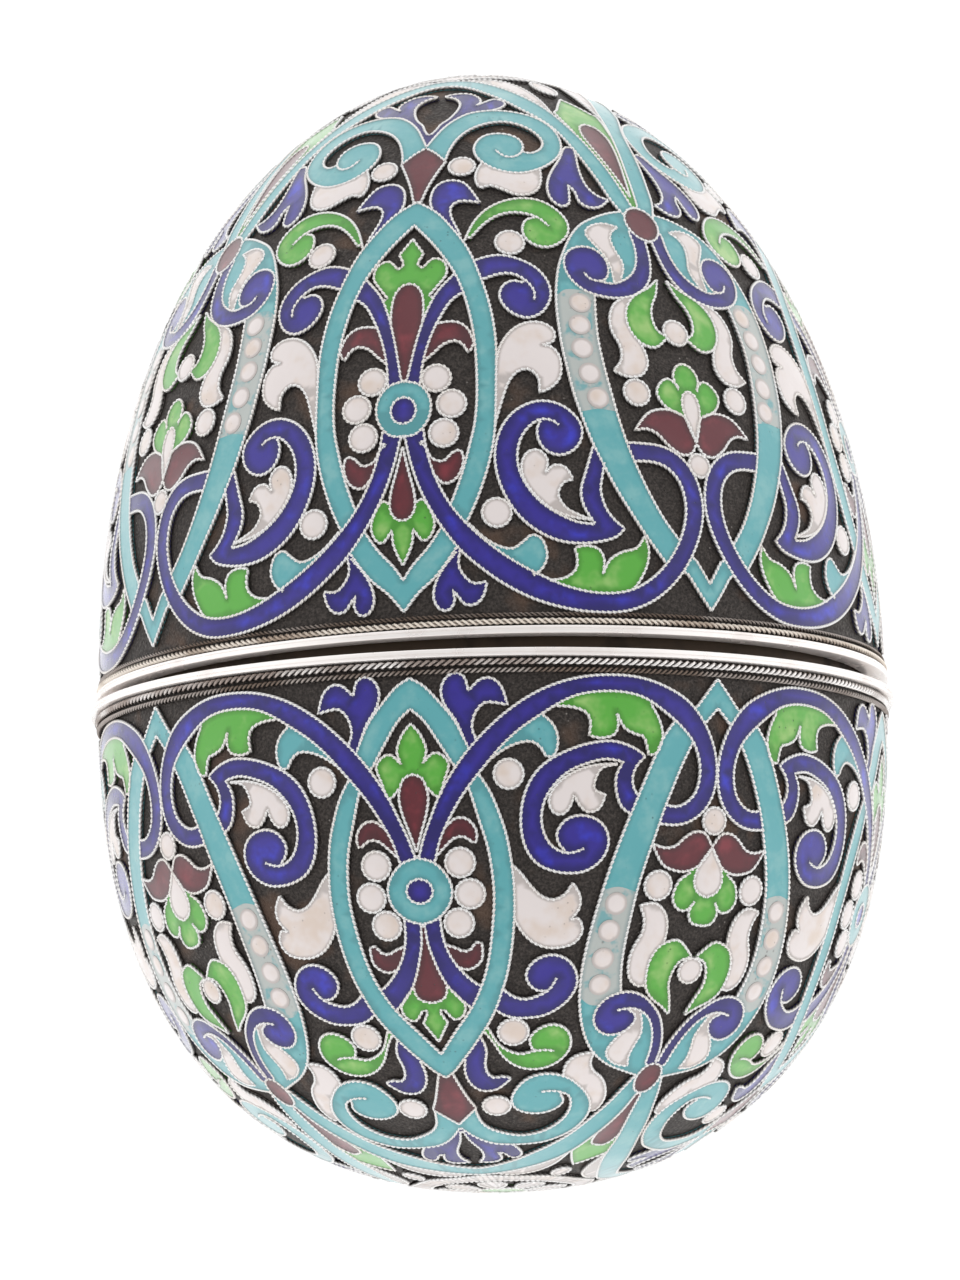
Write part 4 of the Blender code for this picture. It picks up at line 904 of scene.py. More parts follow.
    def chart(self) -> tuple[list[Point], list[tuple[int, ...]], list[int]]:
        """The eighth cut into triangles along its curves.

        Returns:
            The points, the triangles, and the number of the cell that each triangle is in.
        """
        top = self.profile.length
        all_borders = self.tree(True)
        places = [(0.0, 0.0), (EIGHTH, 0.0), (EIGHTH, top), (0.0, top)]
        edges = [(0, 1), (1, 2), (2, 3), (3, 0)]
        for curve in self.curves.values():
            start = len(places)
            places += [(min(max(azimuth, 0.0), EIGHTH), distance) for azimuth, distance in curve]
            edges += [(index, index + 1) for index in range(start, len(places) - 1)]
        inner = self.inner_points()
        for point, place in zip(inner, self.laid(inner)):
            if all_borders.find(place)[2] > WIRE_CLEARANCE * MM:
                places.append(point)
        flat = [Vector((azimuth * CHART_STRETCH, distance)) for azimuth, distance in places]
        points, lines, triangles, _, origins, _ = delaunay_2d_cdt(
            flat, edges, [], 0, CHART_REACH
        )
        walls = {tuple(sorted(line)) for line, origin in zip(lines, origins) if origin}
        beside: dict[tuple[int, int], list[int]] = {}
        for number, triangle in enumerate(triangles):
            for edge in edges_of(triangle):
                beside.setdefault(edge, []).append(number)
        cells = [-1] * len(triangles)
        for number in range(len(triangles)):
            if cells[number] >= 0:
                continue
            cells[number] = number
            queue = [number]
            while queue:
                for edge in set(edges_of(triangles[queue.pop()])) - walls:
                    for other in beside[edge]:
                        if cells[other] < 0:
                            cells[other] = number
                            queue.append(other)
        return [(p.x / CHART_STRETCH, p.y) for p in points], triangles, cells

    def fills(self) -> dict[Enamel, Sheet]:
        """Enamel of the eighth by colour.

        Returns:
            A sheet for each colour, with the distance from the nearest wire in millimetres.
        """
        points, triangles, cells = self.chart()
        rows = np.array(points)
        faces = np.array(triangles)
        a, b, c = (rows[faces[:, k]] for k in range(3))
        area = turning(a, b, c)
        colours: dict[int, Enamel] = {}
        for colour, text in self.seeds.items():
            for azimuth, distance in read_line(text):
                seed = np.array([azimuth, distance + self.shift])
                sides = [
                    turning(p, q, seed) * np.sign(area) >= 0
                    for p, q in ((a, b), (b, c), (c, a))
                ]
                found = np.flatnonzero(np.all(sides, axis=0))
                if not len(found):
                    log.warning("no cell at %s %s", azimuth, distance)
                    continue
                cell = cells[found[0]]
                if colours.setdefault(cell, Enamel(colour)) is not Enamel(colour):
                    log.warning("two colours at %s %s", azimuth, distance)
        wire_tree, border_tree = self.tree(False), self.tree(True)
        places = self.laid(points)
        wire_gap = np.array([wire_tree.find(place)[2] for place in places]) / MM
        border_gap = np.array([border_tree.find(place)[2] for place in places]) / MM
        upright = area * self.profile.side > 0
        faces = np.where(upright[:, None], faces, faces[:, ::-1])
        cells = np.array(cells)
        sheets = {}
        for colour in Enamel:
            chosen = np.isin(cells, [cell for cell, name in colours.items() if name is colour])
            used, corners = np.unique(faces[chosen], return_inverse=True)
            gap = (border_gap if colour is Enamel.WHITE else wire_gap)[used]
            sheets[colour] = Sheet(
                self.profile.places(rows[used, 0], rows[used, 1], FILLS[colour].lift(gap)),
                corners.reshape(-1, 3), {"edge": gap},
            )
        return sheets


class Bench:
    """Short way to place and link the nodes of one tree."""

    def __init__(self, tree: bpy.types.NodeTree) -> None:
        """Takes the tree to work on."""
        self.tree = tree

    def fill(self, node: bpy.types.Node, inputs: dict) -> None:
        """Sets or links inputs of a node.

        Args:
            node: the node.
            inputs: values or sockets for its inputs.
        """
        for key, value in inputs.items():
            if isinstance(value, bpy.types.NodeSocket):
                self.tree.links.new(value, node.inputs[key])
            else:
                node.inputs[key].default_value = value

    def add(self, kind: str, inputs: dict | None = None, **settings: object) -> bpy.types.Node:
        """Places a node.

        Args:
            kind: the node's type.
            inputs: values or sockets for its inputs.
            settings: its own properties.

        Returns:
            The node.
        """
        node = self.tree.nodes.new(kind)
        for key, value in settings.items():
            setattr(node, key, value)
        self.fill(node, inputs or {})
        return node

    def blend(self, share: object, low: object, high: object) -> bpy.types.NodeSocket:
        """Colour between two by a share.

        Args:
            share: number or socket.
            low: colour or socket at 0.
            high: colour or socket at 1.

        Returns:
            The mixed colour's socket.
        """
        ends = [
            value if isinstance(value, bpy.types.NodeSocket) else (*value, 1.0)
            for value in (low, high)
        ]
        node = self.add("ShaderNodeMix", {0: share, 6: ends[0], 7: ends[1]}, data_type="RGBA")
        return node.outputs[2]

    def ramp(self, value: object, low: object, high: object, to_low: float = 0.0,
             to_high: float = 1.0) -> bpy.types.NodeSocket:
        """Smooth step of a value.

        Args:
            value: the socket to read.
            low: where the step starts.
            high: where it ends.
            to_low: its result before the step.
            to_high: its result after the step.

        Returns:
            The result's socket.
        """
        node = self.add(
            "ShaderNodeMapRange",
            {"Value": value, "From Min": low, "From Max": high, "To Min": to_low,
             "To Max": to_high},
            interpolation_type="SMOOTHSTEP",
        )
        return node.outputs["Result"]

    def maths(self, operation: str, first: object, second: object) -> bpy.types.NodeSocket:
        """Result of one sum on two numbers or sockets."""
        return self.add("ShaderNodeMath", {0: first, 1: second}, operation=operation).outputs[0]

    def attribute(self, name: str) -> bpy.types.NodeSocket:
        """A named number of the piece's corners."""
        return self.add("ShaderNodeAttribute", attribute_name=name).outputs["Fac"]

    def shared(self, group: bpy.types.NodeTree, numbers: dict[str, float]) -> bpy.types.NodeSocket:
        """Places a shared group that reads Object coordinates.

        Args:
            group: the group.
            numbers: its other inputs.

        Returns:
            The socket of its result.
        """
        place = self.add("ShaderNodeTexCoord").outputs["Object"]
        node = self.add("ShaderNodeGroup", {"Vector": place, **numbers}, node_tree=group)
        return node.outputs[0]

    def patches(self, scale: float, low: float, high: float) -> bpy.types.NodeSocket:
        """Mask of uneven patches, with a scale in patches a metre."""
        return self.shared(patches_group(), {"Scale": scale, "Low": low, "High": high})

    def stipple(self, scale: float, size: float) -> bpy.types.NodeSocket:
        """Height of fine pits, with a scale in pits a metre."""
        return self.shared(stipple_group(), {"Scale": scale, "Size": size})

    def bump(self, shader: bpy.types.Node, height: object, distance: float) -> None:
        """Leads a height to the shader's normal, with a distance in metres."""
        node = self.add("ShaderNodeBump", {"Height": height, "Distance": distance})
        self.fill(shader, {"Normal": node.outputs["Normal"]})


def new_group(name: str, numbers: tuple[str, ...], result: str
              ) -> tuple[Bench, bpy.types.NodeOutputs]:
    """Starts a group that reads a place and some numbers and puts out one number.

    Args:
        name: the group's name.
        numbers: labels of its number inputs.
        result: label of its output.

    Returns:
        The group's bench, and its input sockets by label.
    """
    tree = bpy.data.node_groups.new(name, "ShaderNodeTree")
    tree.interface.new_socket("Vector", in_out="INPUT", socket_type="NodeSocketVector")
    for label in numbers:
        tree.interface.new_socket(label, in_out="INPUT", socket_type="NodeSocketFloat")
    tree.interface.new_socket(result, in_out="OUTPUT", socket_type="NodeSocketFloat")
    bench = Bench(tree)
    return bench, bench.add("NodeGroupInput").outputs


def patches_group() -> bpy.types.NodeTree:
    """Group for uneven patches, such as tarnish or pale spots in enamel.

    Returns:
        The group, with a mask that is 1 in the patches.
    """
    if "patches" not in bpy.data.node_groups:
        bench, given = new_group("patches", ("Scale", "Low", "High"), "Mask")
        noise = bench.add("ShaderNodeTexNoise", {
            "Vector": given["Vector"], "Scale": given["Scale"], "Detail": 3.0, "Roughness": 0.6,
        })
        mask = bench.ramp(noise.outputs["Fac"], given["Low"], given["High"])
        bench.add("NodeGroupOutput", {"Mask": mask})
    return bpy.data.node_groups["patches"]


def stipple_group() -> bpy.types.NodeTree:
    """Group for a surface of fine pits.

    Returns:
        The group, with a height that dips in each pit.
    """
    if "stipple" not in bpy.data.node_groups:
        bench, given = new_group("stipple", ("Scale", "Size"), "Height")
        spots = bench.add("ShaderNodeTexVoronoi", {
            "Vector": given["Vector"], "Scale": given["Scale"],
        })
        pit = bench.ramp(spots.outputs["Distance"], 0.0, given["Size"])
        bench.add("NodeGroupOutput", {"Height": pit})
    return bpy.data.node_groups["stipple"]


@dataclass(frozen=True)
class Finish:
    """What every finish is built on."""

    name: str

    def dress(self, bench: Bench, shader: bpy.types.Node) -> None:
        """Sets the shader, in each finish's own way."""
        raise NotImplementedError

    def material(self) -> bpy.types.Material:
        """Makes the material.

        Returns:
            A new material with this finish.
        """
        material = bpy.data.materials.new(self.name)
        material.use_nodes = True
        self.dress(Bench(material.node_tree), material.node_tree.nodes["Principled BSDF"])
        return material


@dataclass(frozen=True)
class EnamelFinish(Finish):
    """Glassy enamel of one colour in its cell, painted darker next to the wire as the wire's
    shade.
    """

    edge: Colour
    middle: Colour
    patch: Colour
    pit: Colour
    fade: float
    mottle_and_highlights: Patches
    pit_size: float
    rough: float
    middle_lift: float
    sheen: float
    edge_lift: float = 0.29
    swell: float = 0.9
    fade_start: float = 0.12
    pit_scale: float = 1500.0
    pitted_parts: Patches = (260.0, 0.5, 0.62)
    pit_rough: float = 0.6
    coat: float = 0.5
    coat_rough: float = 0.1
    sheen_rough: float = 0.4
    specular: float = 0.25
    waves: Patches = (520.0, 0.2, 0.8)
    wave_height: float = 0.5
    depth: float = 0.00004

    def lift(self, gap: np.ndarray) -> np.ndarray:
        """Height of the enamel above the ground by the distance from its border."""
        share = np.clip(gap / self.swell, 0.0, 1.0)
        return self.edge_lift + (self.middle_lift - self.edge_lift) * (1 - (1 - share) ** 2)

    def dress(self, bench: Bench, shader: bpy.types.Node) -> None:
        """Sets colour, pits, waves and gloss.

        Args:
            bench: the material's bench.
            shader: its shader.
        """
        # painted shade: the colour goes from the edge colour by the wire to the middle colour
        # inside; on the domed white dots the greyer rim is painted shading of the dome
        inward = bench.ramp(bench.attribute("edge"), self.fade_start, self.fade)
        colour = bench.blend(inward, self.edge, self.middle)
        # uneven patches of the patch colour: real mottling in most colours, painted highlights in
        # the cobalt
        mottle_and_highlights = bench.maths("MULTIPLY", bench.patches(*self.mottle_and_highlights), inward)
        colour = bench.blend(mottle_and_highlights, colour, self.patch)
        pits = bench.maths("SUBTRACT", 1.0, bench.stipple(self.pit_scale, self.pit_size))
        pitted = bench.maths("MULTIPLY", pits, bench.patches(*self.pitted_parts))
        bench.fill(shader, {
            "Base Color": bench.blend(pitted, colour, self.pit),
            "Roughness": bench.ramp(pitted, 0.0, 1.0, self.rough, self.pit_rough),
            "Coat Weight": self.coat, "Coat Roughness": self.coat_rough,
            "Sheen Weight": self.sheen, "Sheen Roughness": self.sheen_rough,
            "Specular IOR Level": self.specular,
        })
        waves = bench.maths("MULTIPLY", bench.patches(*self.waves), self.wave_height)
        bench.bump(shader, bench.maths("SUBTRACT", waves, pitted), self.depth)


@dataclass(frozen=True)
class GroundFinish(Finish):
    """Matted silver, dark with age, with brown tarnish and bright specks."""

    dark: Colour = (0.023, 0.019, 0.017)
    worn: Colour = (0.074, 0.061, 0.054)
    brown: Colour = (0.125, 0.076, 0.052)
    speck: Colour = (0.42, 0.38, 0.35)
    grain: Patches = (4200.0, 0.3, 0.8)
    tarnish: Patches = (130.0, 0.56, 0.68)
    tarnish_share: float = 0.7
    speck_scale: float = 1300.0
    speck_size: float = 0.16
    specked_parts: Patches = (150.0, 0.5, 0.64)
    rough: tuple[float, float] = (0.62, 0.42)
    metal: float = 0.55
    pit_scale: float = 3600.0
    pit_size: float = 0.5
    depth: float = 0.00005

    def dress(self, bench: Bench, shader: bpy.types.Node) -> None:
        """Sets grain, tarnish, specks and pits.

        Args:
            bench: the material's bench.
            shader: its shader.
        """
        grain = bench.patches(*self.grain)
        colour = bench.blend(grain, self.dark, self.worn)
        tarnish = bench.maths("MULTIPLY", bench.patches(*self.tarnish), self.tarnish_share)
        colour = bench.blend(tarnish, colour, self.brown)
        specks = bench.maths("SUBTRACT", 1.0, bench.stipple(self.speck_scale, self.speck_size))
        specks = bench.maths("MULTIPLY", specks, bench.patches(*self.specked_parts))
        bench.fill(shader, {
            "Base Color": bench.blend(specks, colour, self.speck),
            "Roughness": bench.ramp(grain, 0.0, 1.0, *self.rough), "Metallic": self.metal,
        })
        pits = bench.stipple(self.pit_scale, self.pit_size)
        bench.bump(shader, bench.maths("ADD", grain, pits), self.depth)


@dataclass(frozen=True)
class WireFinish(Finish):
    """Silver that shines on top, painted near black low on the wire and in its hollows: painted
    shade, with some oxide in the crevices.
    """

    shaded_hollow: Colour
    top: Colour
    warm: Colour
    low: float
    high: float
    rough: float
    metal: float
    patch_scale: float
    patch_reach: tuple[float, float] = (0.46, 0.62)
    hollow_rough: float = 0.55
    scratches: Patches = (5200.0, 0.3, 0.7)
    depth: float = 0.00001

    def dress(self, bench: Bench, shader: bpy.types.Node) -> None:
        """Sets bright tops, painted shade on the low sides and in the hollows, and warm patches.

        Args:
            bench: the material's bench.
            shader: its shader.
        """
        # corners low on the wire, between beads and between strands are painted dark: painted
        # shade where the wire meets enamel and ground, with some oxide
        up = bench.ramp(bench.attribute("height"), self.low, self.high)
        tone = bench.patches(self.patch_scale, *self.patch_reach)
        bench.fill(shader, {
            "Base Color": bench.blend(up, self.shaded_hollow, bench.blend(tone, self.top, self.warm)),
            "Roughness": bench.ramp(up, 0.0, 1.0, self.hollow_rough, self.rough),
            "Metallic": self.metal,
        })
        bench.bump(shader, bench.patches(*self.scratches), self.depth)


@dataclass(frozen=True)
class PolishedFinish(Finish):
    """Smooth metal with soft wear."""

    clean: Colour
    dull: Colour
    rough: float
    metal: float = 1.0
    wear: Patches = (240.0, 0.45, 0.72)
    wear_rough: float = 0.16
    waves: Patches = (900.0, 0.3, 0.7)
    depth: float = 0.000004

    def dress(self, bench: Bench, shader: bpy.types.Node) -> None:
        """Sets polish and wear.

        Args:
            bench: the material's bench.
            shader: its shader.
        """
        worn = bench.patches(*self.wear)
        dull_rough = self.rough + self.wear_rough
        bench.fill(shader, {
            "Base Color": bench.blend(worn, self.clean, self.dull),
            "Roughness": bench.ramp(worn, 0.0, 1.0, self.rough, dull_rough),
            "Metallic": self.metal,
        })
        bench.bump(shader, bench.patches(*self.waves), self.depth)


FILLS: dict[Enamel, EnamelFinish] = {
    Enamel.TURQUOISE: EnamelFinish(
        "turquoise_enamel", edge=(0.078, 0.29, 0.315), middle=(0.100, 0.375, 0.405),
        patch=(0.18, 0.44, 0.45), pit=(0.05, 0.16, 0.17), fade=0.5, mottle_and_highlights=(420.0, 0.42, 0.72),
        pit_size=0.20, rough=0.34, middle_lift=0.24, sheen=0.5,
    ),
    Enamel.PEARL: EnamelFinish(
        "pale_enamel", edge=(0.30, 0.36, 0.36), middle=(0.44, 0.47, 0.45),
        patch=(0.17, 0.37, 0.39), pit=(0.16, 0.15, 0.14), fade=0.5, mottle_and_highlights=(560.0, 0.50, 0.64),
        pit_size=0.26, rough=0.36, middle_lift=0.25, sheen=0.5,
    ),
    # the cobalt's bright blue patches are painted highlights, as of light coming back from the
    # silver through the clear enamel
    Enamel.COBALT: EnamelFinish(
        "cobalt_enamel", edge=(0.011, 0.006, 0.12), middle=(0.026, 0.015, 0.26),
        patch=(0.030, 0.034, 0.52), pit=(0.008, 0.006, 0.06), fade=0.85,
        mottle_and_highlights=(330.0, 0.50, 0.72), pit_size=0.14, rough=0.16, middle_lift=0.22, sheen=0.2,
    ),
    Enamel.GREEN: EnamelFinish(
        "green_enamel", edge=(0.058, 0.27, 0.022), middle=(0.09, 0.39, 0.040),
        patch=(0.30, 0.52, 0.15), pit=(0.03, 0.10, 0.01), fade=0.6, mottle_and_highlights=(300.0, 0.44, 0.74),
        pit_size=0.20, rough=0.22, middle_lift=0.23, sheen=0.4,
    ),
    Enamel.GARNET: EnamelFinish(
        "garnet_enamel", edge=(0.062, 0.008, 0.013), middle=(0.110, 0.011, 0.019),
        patch=(0.20, 0.022, 0.034), pit=(0.03, 0.008, 0.01), fade=0.7,
        mottle_and_highlights=(420.0, 0.46, 0.74), pit_size=0.14, rough=0.2, middle_lift=0.22, sheen=0.3,
    ),
    # white dots: lighter middle and greyer rim, painted shading of a dome
    Enamel.WHITE: EnamelFinish(
        "white_enamel", edge=(0.50, 0.45, 0.43), middle=(0.75, 0.685, 0.67),
        patch=(0.68, 0.57, 0.50), pit=(0.40, 0.35, 0.32), fade=0.36, mottle_and_highlights=(260.0, 0.46, 0.70),
        pit_size=0.16, rough=0.34, middle_lift=0.37, sheen=0.3, edge_lift=0.28, swell=1.1,
        coat=0.4,
    ),
}
METALS: dict[Metal, Finish] = {
    Metal.GROUND: GroundFinish("matted_silver"),
    # the hollow colour of wires and ropes is painted shade on their low sides and in their
    # crevices
    Metal.WIRE: WireFinish(
        "twisted_wire_silver", shaded_hollow=(0.11, 0.10, 0.095), top=(0.97, 0.96, 0.95),
        warm=(0.95, 0.91, 0.87), low=0.40, high=0.92, rough=0.30, metal=0.35, patch_scale=170.0,
    ),
    Metal.ROPE: WireFinish(
        "rope_silver", shaded_hollow=(0.04, 0.033, 0.03), top=(0.92, 0.89, 0.87),
        warm=(0.34, 0.28, 0.25), low=0.3, high=0.8, rough=0.26, metal=0.8, patch_scale=70.0,
    ),
    Metal.WARM_ROPE: WireFinish(
        "warm_rope_silver", shaded_hollow=(0.14, 0.10, 0.075), top=(0.93, 0.85, 0.76),
        warm=(0.50, 0.40, 0.32), low=0.2, high=0.8, rough=0.38, metal=0.6, patch_scale=110.0,
    ),
    # the thin ropes are made darker than the thick ones
    Metal.DARK_ROPE: WireFinish(
        "dark_rope_silver", shaded_hollow=(0.035, 0.03, 0.027), top=(0.45, 0.40, 0.37),
        warm=(0.20, 0.15, 0.12), low=0.35, high=0.95, rough=0.34, metal=0.8, patch_scale=90.0,
    ),
    Metal.BAND: PolishedFinish(
        "bright_silver", clean=(0.95, 0.905, 0.88), dull=(0.86, 0.80, 0.77), rough=0.22,
        metal=0.55,
    ),
    Metal.GILT: PolishedFinish(
        "gilt_silver", clean=(0.86, 0.60, 0.28), dull=(0.55, 0.34, 0.13), rough=0.26,
    ),
    # the collar's gilding painted near black: painted shadow in the gap between the halves
    Metal.SHADOWED_GILT: PolishedFinish(
        "gilding_in_painted_shadow", clean=(0.045, 0.027, 0.014), dull=(0.02, 0.013, 0.008), rough=0.6,
        metal=0.3,
    ),
}


class Workshop:
    """Steps of Blender's own that several pieces share."""

    @staticmethod
    def alone(piece: bpy.types.Object) -> None:
        """Selects one piece and nothing else.

        Args:
            piece: the piece.
        """
        bpy.ops.object.select_all(action="DESELECT")
        piece.select_set(True)
        bpy.context.view_layer.objects.active = piece

    @classmethod
    def weld(cls, piece: bpy.types.Object, outward: bool) -> None:
        """Merges doubled corners.

        Args:
            piece: the piece.
            outward: True to turn a closed piece's faces outwards.
        """
        cls.alone(piece)
        bpy.ops.object.mode_set(mode="EDIT")
        bpy.ops.mesh.select_all(action="SELECT")
        bpy.ops.mesh.remove_doubles(threshold=WELD_REACH)
        bpy.ops.mesh.dissolve_degenerate(threshold=THIN_EDGE)
        if outward:
            bpy.ops.mesh.normals_make_consistent(inside=False)
        bpy.ops.object.mode_set(mode="OBJECT")

    @classmethod
    def thicken(cls, piece: bpy.types.Object, thickness: float) -> None:
        """Gives a sheet its thickness towards the inside.

        Args:
            piece: the sheet.
            thickness: its thickness in millimetres.
        """
        cls.alone(piece)
        modifier = piece.modifiers.new("thickness", "SOLIDIFY")
        modifier.thickness = thickness * MM
        modifier.offset = -1.0
        bpy.ops.object.modifier_apply(modifier=modifier.name)

    @classmethod
    def turned(cls, name: str, outline: list[Point]) -> bpy.types.Object:
        """Body turned round the egg's axis from its section.

        Args:
            name: the piece's name.
            outline: radius and place along the axis of each corner, in millimetres, in order.

        Returns:
            The closed body.
        """
        mesh = bpy.data.meshes.new(name)
        corners = [(0.0, along * MM, radius * MM) for radius, along in outline]
        count = len(corners)
        mesh.from_pydata(corners, [(k, (k + 1) % count) for k in range(count)], [])
        piece = bpy.data.objects.new(name, mesh)
        bpy.context.scene.collection.objects.link(piece)
        cls.alone(piece)
        bpy.ops.object.mode_set(mode="EDIT")
        bpy.ops.mesh.select_all(action="SELECT")
        bpy.ops.mesh.spin(
            steps=AROUND, angle=2 * math.pi, center=(0, 0, 0), axis=(0, 1, 0),
            use_auto_merge=True,
        )
        bpy.ops.object.mode_set(mode="OBJECT")
        cls.weld(piece, True)
        return piece

    @classmethod
    def settle(cls, piece: bpy.types.Object, place: Matrix, sharp: float) -> None:
        """Lays a piece in its place on the floor and smooths it.

        Args:
            piece: the piece, round the egg's own axis.
            place: where that axis is.
            sharp: degrees over which an edge stays sharp.
        """
        piece.data.transform(place)
        corners = np.zeros(len(piece.data.vertices) * 3)
        piece.data.vertices.foreach_get("co", corners)
        corners[2::3] = np.maximum(corners[2::3], 0.0)
        piece.data.vertices.foreach_set("co", corners)
        piece.data.update()
        cls.alone(piece)
        bpy.ops.object.shade_smooth_by_angle(angle=math.radians(sharp))

    @classmethod
    def hand_over(cls, piece: bpy.types.Object, place: Matrix, slot: Slot,
                  materials: list[bpy.types.Material], sharp: float, *nodes: str) -> None:
        """Finishes a piece and hides the part's nodes that it replaces.

        Args:
            piece: the piece, round the egg's own axis.
            place: where that axis is.
            slot: its slot in the record; not used.
            materials: its materials in order.
            sharp: degrees over which an edge stays sharp.
            nodes: nodes of the part that it replaces.
        """
        cls.settle(piece, place, sharp)
        for material in materials:
            piece.data.materials.append(material)
        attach(piece, "root")
        if nodes:
            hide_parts(*nodes)
        log.info("%s: %d faces", piece.name, len(piece.data.polygons))


@dataclass
class Half:
    """One half of the egg: ground, wires, enamel, mouth band and rope wires."""

    name: str
    pattern: Pattern
    band_radius: float
    thick_rope: float
    thin_rope: float
    thick_pitch: float
    thin_pitch: float
    rope_lay: int
    rope_metal: Metal
    place: Matrix

    @property
    def profile(self) -> Profile:
        """Outline of the half."""
        return self.pattern.profile

    def quarters(self, eighth: Sheet) -> list[Sheet]:
        """The pattern's repeats round the egg from one eighth."""
        quarter = Sheet.joined([eighth, eighth.mirrored()])
        return [quarter.turned(360 / REPEATS * number) for number in range(REPEATS)]

    def build_ground(self, ground: bpy.types.Material, gilt: bpy.types.Material) -> None:
        """Silver wall of the half.

        Args:
            ground: the finish outside.
            gilt: the finish inside.
        """
        start = BAND_HEIGHT + GROUND_GAP
        down = start + (self.profile.length - start) * np.linspace(0, 1, DOWN) ** DOWN_CROWDING
        outer = self.profile.places(np.zeros(DOWN), down, np.zeros(DOWN)) / MM
        inner = self.profile.places(np.zeros(DOWN), down, np.full(DOWN, -WALL)) / MM
        outline = [(z, y) for _, y, z in (*outer, *inner[::-1])]
        piece = Workshop.turned(f"{self.name}_ground", outline)
        inside = [int(face.normal.dot(face.center) < 0) for face in piece.data.polygons]
        piece.data.polygons.foreach_set("material_index", inside)
        Workshop.hand_over(piece, self.place, Slot.ENAMELLED, [ground, gilt], SHARP_GROUND,
                           f"{self.name}_shell")

    def build_wires(self, material: bpy.types.Material) -> None:
        """Twisted wires of the cells, one piece for each quarter.

        Args:
            material: their finish.
        """
        for number, quarter in enumerate(self.quarters(self.pattern.wires()), start=1):
            piece = quarter.piece(f"{self.name}_wires_{number}")
            Workshop.hand_over(piece, self.place, Slot.ENAMELLED, [material], SHARP_WIRE)

    def build_enamel(self, materials: dict[Enamel, bpy.types.Material]) -> None:
        """Enamel of all cells, one piece for each colour.

        Args:
            materials: the finish of each colour.
        """
        for colour, eighth in self.pattern.fills().items():
            piece = Sheet.joined(self.quarters(eighth)).piece(f"{self.name}_{colour.value}")
            Workshop.weld(piece, False)
            Workshop.thicken(piece, ENAMEL_DEPTH)
            Workshop.hand_over(
                piece, self.place, Slot.ENAMELLED, [materials[colour]], SHARP_EDGE
            )

    def build_band(self, material: bpy.types.Material) -> None:
        """Polished band of the mouth, with soft edges and a fine line round it.

        Args:
            material: its finish.
        """
        bore = self.profile.places(
            np.zeros(1), np.array([BAND_HEIGHT]), np.full(1, -WALL)
        )[0][2] / MM
        section = [(self.band_radius - inset, along) for inset, along in BAND_SECTION]
        section = [(bore, 0.0), *section, (bore, BAND_HEIGHT)]
        outline = [(around, self.profile.side * along) for around, along in section]
        piece = Workshop.turned(f"{self.name}_band", outline)
        Workshop.hand_over(
            piece, self.place, Slot.BRIGHT, [material], SHARP_EDGE, f"{self.name}_rim"
        )

    def build_rope(self, label: str, node: str, start: float, thickness: float,
                   pitch: float, material: bpy.types.Material) -> None:
        """Rope of two twisted strands round the mouth.

        Args:
            label: which rope it is.
            node: the part's node that it replaces.
            start: millimetres from the mouth to its near side.
            thickness: millimetres across it.
            pitch: millimetres from bead to bead.
            material: its material.
        """
        middle = start + thickness / 2
        ground = self.profile.places(np.zeros(1), np.array([middle]), np.zeros(1))[0] / MM
        radius = ground[2] + thickness / 2
        beads = int(round(2 * math.pi * radius / pitch))
        turn = np.linspace(0, 2 * math.pi, beads * ROPE_SAMPLES, endpoint=False)
        outs = np.stack([np.sin(turn), np.zeros_like(turn), np.cos(turn)], axis=-1)
        centres = MM * (outs * radius + np.array([0.0, self.profile.side * middle, 0.0]))
        reach = np.array(ROPE_REACH)
        angles = np.radians(np.arange(0, 360, 360 // len(reach)))
        section = thickness / 2 * MM * (
            reach[:, None] * np.stack([np.cos(angles), np.sin(angles)], axis=-1)
        )
        rope, _ = sweep(centres, outs, section, self.rope_lay * 180 / ROPE_SAMPLES, True)
        rope.values["height"] = np.tile(reach, len(centres))
        piece = rope.piece(f"{self.name}_{label}")
        Workshop.hand_over(piece, self.place, Slot.ROPE, [material], SHARP_WIRE, node)

    def build(self, shop: dict[Metal, bpy.types.Material],
              fills: dict[Enamel, bpy.types.Material]) -> None:
        """Builds and dresses all pieces of the half.

        Args:
            shop: the metal finishes.
            fills: the enamel finishes.
        """
        self.build_ground(shop[Metal.GROUND], shop[Metal.GILT])
        self.build_wires(shop[Metal.WIRE])
        self.build_enamel(fills)
        self.build_band(shop[Metal.BAND])
        first = BAND_HEIGHT + WIRE_GAP
        second = BAND_HEIGHT + self.thick_rope + 2 * WIRE_GAP
        near, far = ("upper", "lower") if self.profile.side < 0 else ("lower", "upper")
        self.build_rope("thick_rope", f"{self.name}_rope_{near}", first, self.thick_rope,
                        self.thick_pitch, shop[self.rope_metal])
        self.build_rope("thin_rope", f"{self.name}_rope_{far}", second, self.thin_rope,
                        self.thin_pitch, shop[Metal.DARK_ROPE])


@dataclass
class Collar:
    """Inner ring of the lower half, which the lid slips over."""

    place: Matrix
    rise: float = 2.6
    depth: float = 4.0
    wall: float = 0.8
    lip: float = 0.25
    lip_bevel: float = 0.07

    def build(self, gilt: bpy.types.Material) -> None:
        """Builds the ring with a rounded lip.

        Args:
            gilt: its finish, gilding painted near black as the shadow in the gap between the
                halves.
        """
        low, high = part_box("base_collar")
        outer = (high.x - low.x) / 2 / MM
        inner = outer - self.wall
        top = self.rise
        outline = [
            (inner, -self.depth), (outer, -self.depth), (outer, top - self.lip),
            (outer - self.lip_bevel, top - self.lip_bevel), (outer - self.lip, top),
            (inner + self.lip, top), (inner + self.lip_bevel, top - self.lip_bevel),
            (inner, top - self.lip),
        ]
        piece = Workshop.turned("base_gilt_collar", outline)
        Workshop.hand_over(piece, self.place, Slot.GILT, [gilt], SHARP_EDGE, "base_collar")


